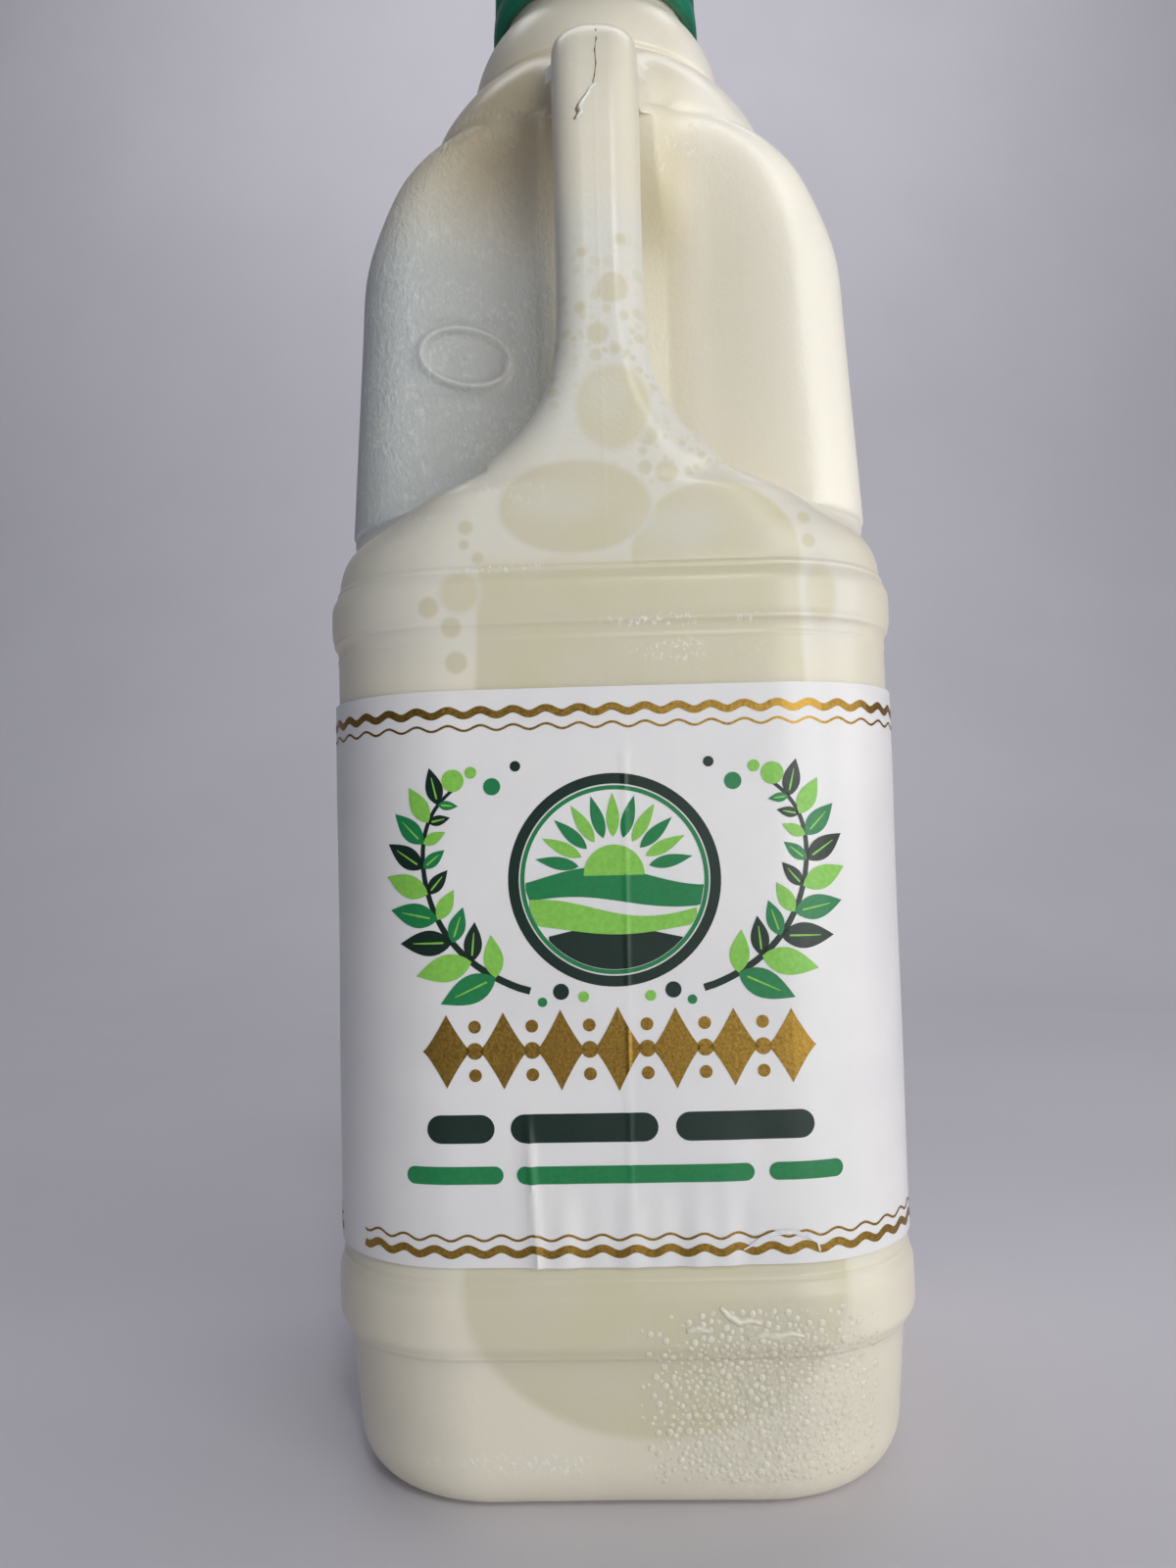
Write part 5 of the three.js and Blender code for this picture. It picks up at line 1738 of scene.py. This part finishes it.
class JugSettings(bpy.types.PropertyGroup):
    """Sizes and colours of the plastic body and the milk behind it, and of the shade and light painted on it.
    """
    seam_height: FloatProperty(name="Seam height", description="Rise of the parting line, in millimetres",
                               default=0.012, min=0.0, max=1.0)
    wall_colour: FloatVectorProperty(name="Wall", description="Plastic with milk against it",
                                     subtype="COLOR", default=srgb(236, 229, 211))
    wall_shade: FloatVectorProperty(name="Wall shade", description="Slightly deeper patches of the wall",
                                    subtype="COLOR", default=srgb(229, 222, 203))
    pocket_colour: FloatVectorProperty(name="Air pocket", description="Plastic with air behind it",
                                       subtype="COLOR", default=srgb(218, 211, 188))
    bubble_colour: FloatVectorProperty(name="Bubble", description="Inside of the small bubbles",
                                       subtype="COLOR", default=srgb(208, 201, 170))
    pocket_edge: FloatVectorProperty(name="Air pocket edge", description="Yellower parts of the air pocket",
                                     subtype="COLOR", default=srgb(216, 210, 180))
    # Painted shadow beside the grip's top
    painted_warm_shadow: FloatVectorProperty(name="Warm shade", description="Painted brownish shadow on the wall beside the grip's top",
                                    subtype="COLOR", default=srgb(186, 168, 128))
    # Painted shadow in the channel right of the grip
    painted_channel_shadow: FloatVectorProperty(name="Channel shade", description="Painted yellowish shadow on the wall right of the grip",
                                       subtype="COLOR", default=srgb(212, 201, 158))
    # Painted shade on the left recess
    painted_cool_shade: FloatVectorProperty(name="Cool shade", description="Painted grey shade on the wall of the left recess",
                                    subtype="COLOR", default=srgb(187, 198, 208))
    # Painted light on the right recess
    painted_wall_light: FloatVectorProperty(name="Painted wall light", description="Painted light on the wall of the right recess",
                                     subtype="COLOR", default=srgb(252, 245, 230))
    # Painted highlights: the glints and the oval's rim
    painted_highlight_colour: FloatVectorProperty(name="Painted highlights", description="Painted highlights: glints in the plastic's skin and on the oval's rim",
                                      subtype="COLOR", default=srgb(250, 250, 246))
    foam_colour: FloatVectorProperty(name="Foam", description="Fine foam against the wall",
                                     subtype="COLOR", default=srgb(223, 221, 211))
    skin_bump: FloatProperty(name="Skin relief", description="Strength of the moulded skin's relief",
                             default=0.55, min=0.0, max=1.0, subtype="FACTOR")
    glow: FloatProperty(name="Glow", description="How much light the milky wall scatters",
                        default=0.25, min=0.0, max=1.0, subtype="FACTOR")
    smoothing: IntProperty(name="Smoothing", description="Subdivision steps of the body",
                           default=1, min=0, max=2)


class LabelSettings(bpy.types.PropertyGroup):
    """Colours of the label and its print."""
    film_colour: FloatVectorProperty(name="Film", description="White of the label", subtype="COLOR",
                                     default=srgb(238, 236, 235))
    film_shade: FloatVectorProperty(name="Film shade", description="Its slightly greyer clouds",
                                    subtype="COLOR", default=srgb(231, 229, 229))
    foil_colour: FloatVectorProperty(name="Foil", description="Light gold", subtype="COLOR",
                                     default=srgb(176, 140, 64))
    foil_dark: FloatVectorProperty(name="Dark foil", description="Dark gold", subtype="COLOR",
                                   default=srgb(136, 105, 44))
    dark_ink: FloatVectorProperty(name="Dark green", description="Darkest ink", subtype="COLOR",
                                  default=srgb(8, 40, 27))
    mid_ink: FloatVectorProperty(name="Green", description="Middle ink", subtype="COLOR",
                                 default=srgb(24, 132, 74))
    light_ink: FloatVectorProperty(name="Light green", description="Lightest ink", subtype="COLOR",
                                   default=srgb(140, 208, 84))


class CapSettings(bpy.types.PropertyGroup):
    """Colours of the screw cap."""
    cap_colour: FloatVectorProperty(name="Cap", description="Green of the cap", subtype="COLOR",
                                    default=srgb(6, 124, 92))
    cap_shade: FloatVectorProperty(name="Cap shade", description="Its deeper patches", subtype="COLOR",
                                   default=srgb(4, 110, 82))


class StageSettings(bpy.types.PropertyGroup):
    """Floor and lights."""
    key_power: FloatProperty(name="Key light", description="Power of the large light in front",
                             default=4.2, min=0.0, subtype="POWER", unit="POWER")
    side_power: FloatProperty(name="Side light", description="Power of the light on the right",
                              default=1.65, min=0.0, subtype="POWER", unit="POWER")
    glint_power: FloatProperty(name="Glint light", description="Power of the small light that makes glints",
                               default=0.6, min=0.0, subtype="POWER", unit="POWER")
    backdrop_power: FloatProperty(name="Backdrop light", description="Power of the light on the backdrop",
                                  default=5.0, min=0.0, subtype="POWER", unit="POWER")
    sky: FloatProperty(name="Sky", description="Strength of the even light all round", default=0.135, min=0.0)
    floor_colour: FloatVectorProperty(name="Floor", description="Pale floor", subtype="COLOR",
                                      default=srgb(226, 223, 230))


class MILKJUG_OT_body(bpy.types.Operator):
    """Builds the smooth plastic body over the packed bottle"""
    bl_idname = "milkjug.body"
    bl_label = "Body"

    def execute(self, context):
        settings = context.scene.milk_jug
        groups = shared_groups()
        rows = body_rows()
        raise_seam(rows, settings.seam_height, BASE_ROUND, CREASE)
        r0, r1 = row_at(rows, HOLE[0]), row_at(rows, HOLE[1])
        points, faces = mirrored_body(rows, (r0, r1, *hole_columns()))
        material = jug_material(settings, groups)
        piece = new_piece("jug_body", points, faces, material)
        subdivide(piece, settings.smoothing)
        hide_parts("bottle")
        return {"FINISHED"}


class MILKJUG_OT_details(bpy.types.Operator):
    """Adds the moulded oval, the seam's flash and the water drops to the body"""
    bl_idname = "milkjug.details"
    bl_label = "Body details"

    def execute(self, context):
        body = bpy.data.objects["jug_body"]
        tree = surface_tree(body)
        points, faces = oval_patch(tree)
        new_piece("moulded_oval", points, faces, body.data.materials[0])
        groups = shared_groups()
        build_seam_marks(tree, groups)
        build_drops(tree, groups)
        return {"FINISHED"}


class MILKJUG_OT_milk(bpy.types.Operator):
    """Gives the milk inside its own material"""
    bl_idname = "milkjug.milk"
    bl_label = "Milk"

    def execute(self, context):
        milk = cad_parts["milk"]
        milk.data.materials.clear()
        milk.data.materials.append(milk_material(shared_groups()))
        return {"FINISHED"}


class MILKJUG_OT_label(bpy.types.Operator):
    """Builds the wrap-round label and its print"""
    bl_idname = "milkjug.label"
    bl_label = "Label"

    def execute(self, context):
        settings = context.scene.milk_jug_label
        groups = shared_groups()
        shape = LabelShape()
        build_label(shape, label_material(settings, groups))
        foil = foil_material(settings, groups)
        inks = {
            "dark": ink_material("dark green ink", tuple(settings.dark_ink), groups),
            "mid": ink_material("green ink", tuple(settings.mid_ink), groups),
            "light": ink_material("light green ink", tuple(settings.light_ink), groups),
        }
        build_borders(shape, foil)
        build_motif(shape, inks, foil)
        wet = Print(shape, 0.28)
        wet.line(WATER_LINE, WATER_WIDTHS)
        wet.finish("water_line", flat_material("clear water", srgb(240, 240, 242), 0.08, groups))
        return {"FINISHED"}


class MILKJUG_OT_cap(bpy.types.Operator):
    """Builds the ribbed screw cap"""
    bl_idname = "milkjug.cap"
    bl_label = "Cap"

    def execute(self, context):
        build_cap(cap_material(context.scene.milk_jug_cap, shared_groups()))
        return {"FINISHED"}


# Studio lights: size, place, aim and colour, in metres
LIGHTS = (
    ("key", (0.6, 0.6), (0.44, -0.7, 0.2), (0, 0, 0.13), (0.98, 1.0, 0.97)),
    ("side", (0.4, 0.6), (0.8, -0.22, 0.14), (0, 0, 0.12), (1.0, 0.93, 0.92)),
    ("glint", (0.06, 0.04), (0.1, -0.6, 0.5), (0, 0, 0.13), (1.0, 1.0, 1.0)),
    ("backdrop", (1.2, 0.5), (0.0, 0.4, 1.3), (0, 1.0, 0.35), (1.0, 1.0, 1.0)),
)

# The floor, which bends up into a backdrop, in metres
FLOOR_REACH = 2.5
FLOOR_DEPTH = 0.5
FLOOR_BEND = 0.6
BACKDROP_TOP = 2.4
FLOOR_DROP = 0.0002


def add_light(name, power, size, place, aim, colour):
    """A rectangular area light turned towards a point."""
    light = bpy.data.lights.new(name, "AREA")
    light.energy = power
    light.shape = "RECTANGLE"
    light.size, light.size_y = size
    light.color = colour
    lamp = bpy.data.objects.new(name, light)
    lamp.location = place
    lamp.rotation_euler = (Vector(aim) - Vector(place)).to_track_quat("-Z", "Y").to_euler()
    bpy.context.scene.collection.objects.link(lamp)


class MILKJUG_OT_stage(bpy.types.Operator):
    """Adds the floor, the lights and the camera"""
    bl_idname = "milkjug.stage"
    bl_label = "Stage"

    def execute(self, context):
        settings = context.scene.milk_jug_stage
        make_floor(settings)
        make_world(settings)
        for name, *light in LIGHTS:
            add_light(name, getattr(settings, name + "_power"), *light)
        make_camera(context)
        return {"FINISHED"}


def make_floor(settings):
    """A plain pale floor that bends up into the backdrop."""
    material, nodes, shader, where = new_material("pale floor")
    mottled = nodes.ramp(nodes.noise(where, 0.006, 3.0), 0.3, 0.7)
    colour = tuple(settings.floor_colour)
    nodes.put(shader.inputs["Base Color"], nodes.blend(mottled, colour, tuple(c * 0.96 for c in colour)))
    shader.inputs["Roughness"].default_value = 0.6
    profile = [(-FLOOR_REACH, 0.0)]
    profile += [(FLOOR_DEPTH + FLOOR_BEND * math.sin(a), FLOOR_BEND * (1 - math.cos(a)))
                for a in np.linspace(0, math.pi / 2, 17)]
    profile.append((FLOOR_DEPTH + FLOOR_BEND, BACKDROP_TOP))
    points = [(side * FLOOR_REACH, y, z - FLOOR_DROP) for y, z in profile for side in (-1, 1)]
    mesh = bpy.data.meshes.new("floor")
    mesh.from_pydata(points, [], grid_faces(len(profile), 2))
    mesh.polygons.foreach_set("use_smooth", [True] * len(mesh.polygons))
    mesh.materials.append(material)
    floor = bpy.data.objects.new("floor", mesh)
    bpy.context.scene.collection.objects.link(floor)


def make_world(settings):
    """Soft, even light from all round."""
    world = bpy.data.worlds.new("studio")
    bpy.context.scene.world = world
    world.use_nodes = True
    background = world.node_tree.nodes["Background"]
    background.inputs[0].default_value = (*srgb(196, 208, 232), 1)
    background.inputs[1].default_value = settings.sky


def make_camera(context):
    """The camera at the photograph's viewing angle."""
    pitch, yaw, roll = (math.radians(a) for a in (CAMERA_PITCH, CAMERA_YAW, CAMERA_ROLL))
    forward = Vector((math.sin(yaw) * math.cos(pitch), math.cos(yaw) * math.cos(pitch), math.sin(pitch)))
    right = Vector((math.cos(yaw), -math.sin(yaw), 0))
    up = right.cross(forward)
    across = right * math.cos(roll) + up * math.sin(roll)
    above = -right * math.sin(roll) + up * math.cos(roll)
    data = bpy.data.cameras.new("camera")
    data.sensor_width = SENSOR
    data.lens = FOCAL_PIXELS * SENSOR / FRAME_HEIGHT
    data.clip_start = 0.01
    camera = bpy.data.objects.new("camera", data)
    bpy.context.scene.collection.objects.link(camera)
    placed = Matrix((across, above, -forward)).transposed().to_4x4()
    placed.translation = Vector(CAMERA_AT) * MM
    camera.matrix_world = placed
    context.scene.camera = camera
    context.scene.view_settings.view_transform = "Standard"


class MILKJUG_PT_panel(bpy.types.Panel):
    """Milk jug tools"""
    bl_idname = "MILKJUG_PT_panel"
    bl_label = "Milk jug"
    bl_space_type = "VIEW_3D"
    bl_region_type = "UI"
    bl_category = "Milk jug"

    def draw(self, context):
        for name, group in SETTINGS:
            box = self.layout.box()
            box.label(text=group.__doc__)
            for field in group.__annotations__:
                box.prop(getattr(context.scene, name), field)
        for operator in OPERATORS:
            self.layout.operator(operator.bl_idname)


SETTINGS = (
    ("milk_jug", JugSettings),
    ("milk_jug_label", LabelSettings),
    ("milk_jug_cap", CapSettings),
    ("milk_jug_stage", StageSettings),
)
OPERATORS = (MILKJUG_OT_body, MILKJUG_OT_details, MILKJUG_OT_milk, MILKJUG_OT_label, MILKJUG_OT_cap,
             MILKJUG_OT_stage)


def register():
    for name, group in SETTINGS:
        bpy.utils.register_class(group)
        setattr(bpy.types.Scene, name, PointerProperty(type=group))
    for cls in (*OPERATORS, MILKJUG_PT_panel):
        bpy.utils.register_class(cls)


def unregister():
    for cls in (MILKJUG_PT_panel, *reversed(OPERATORS)):
        bpy.utils.unregister_class(cls)
    for name, group in reversed(SETTINGS):
        delattr(bpy.types.Scene, name)
        bpy.utils.unregister_class(group)


def main():
    register()
    bpy.ops.milkjug.body()
    bpy.ops.milkjug.details()
    bpy.ops.milkjug.milk()
    bpy.ops.milkjug.label()
    bpy.ops.milkjug.cap()
    bpy.ops.milkjug.stage()


if __name__ == "__main__":
    main()
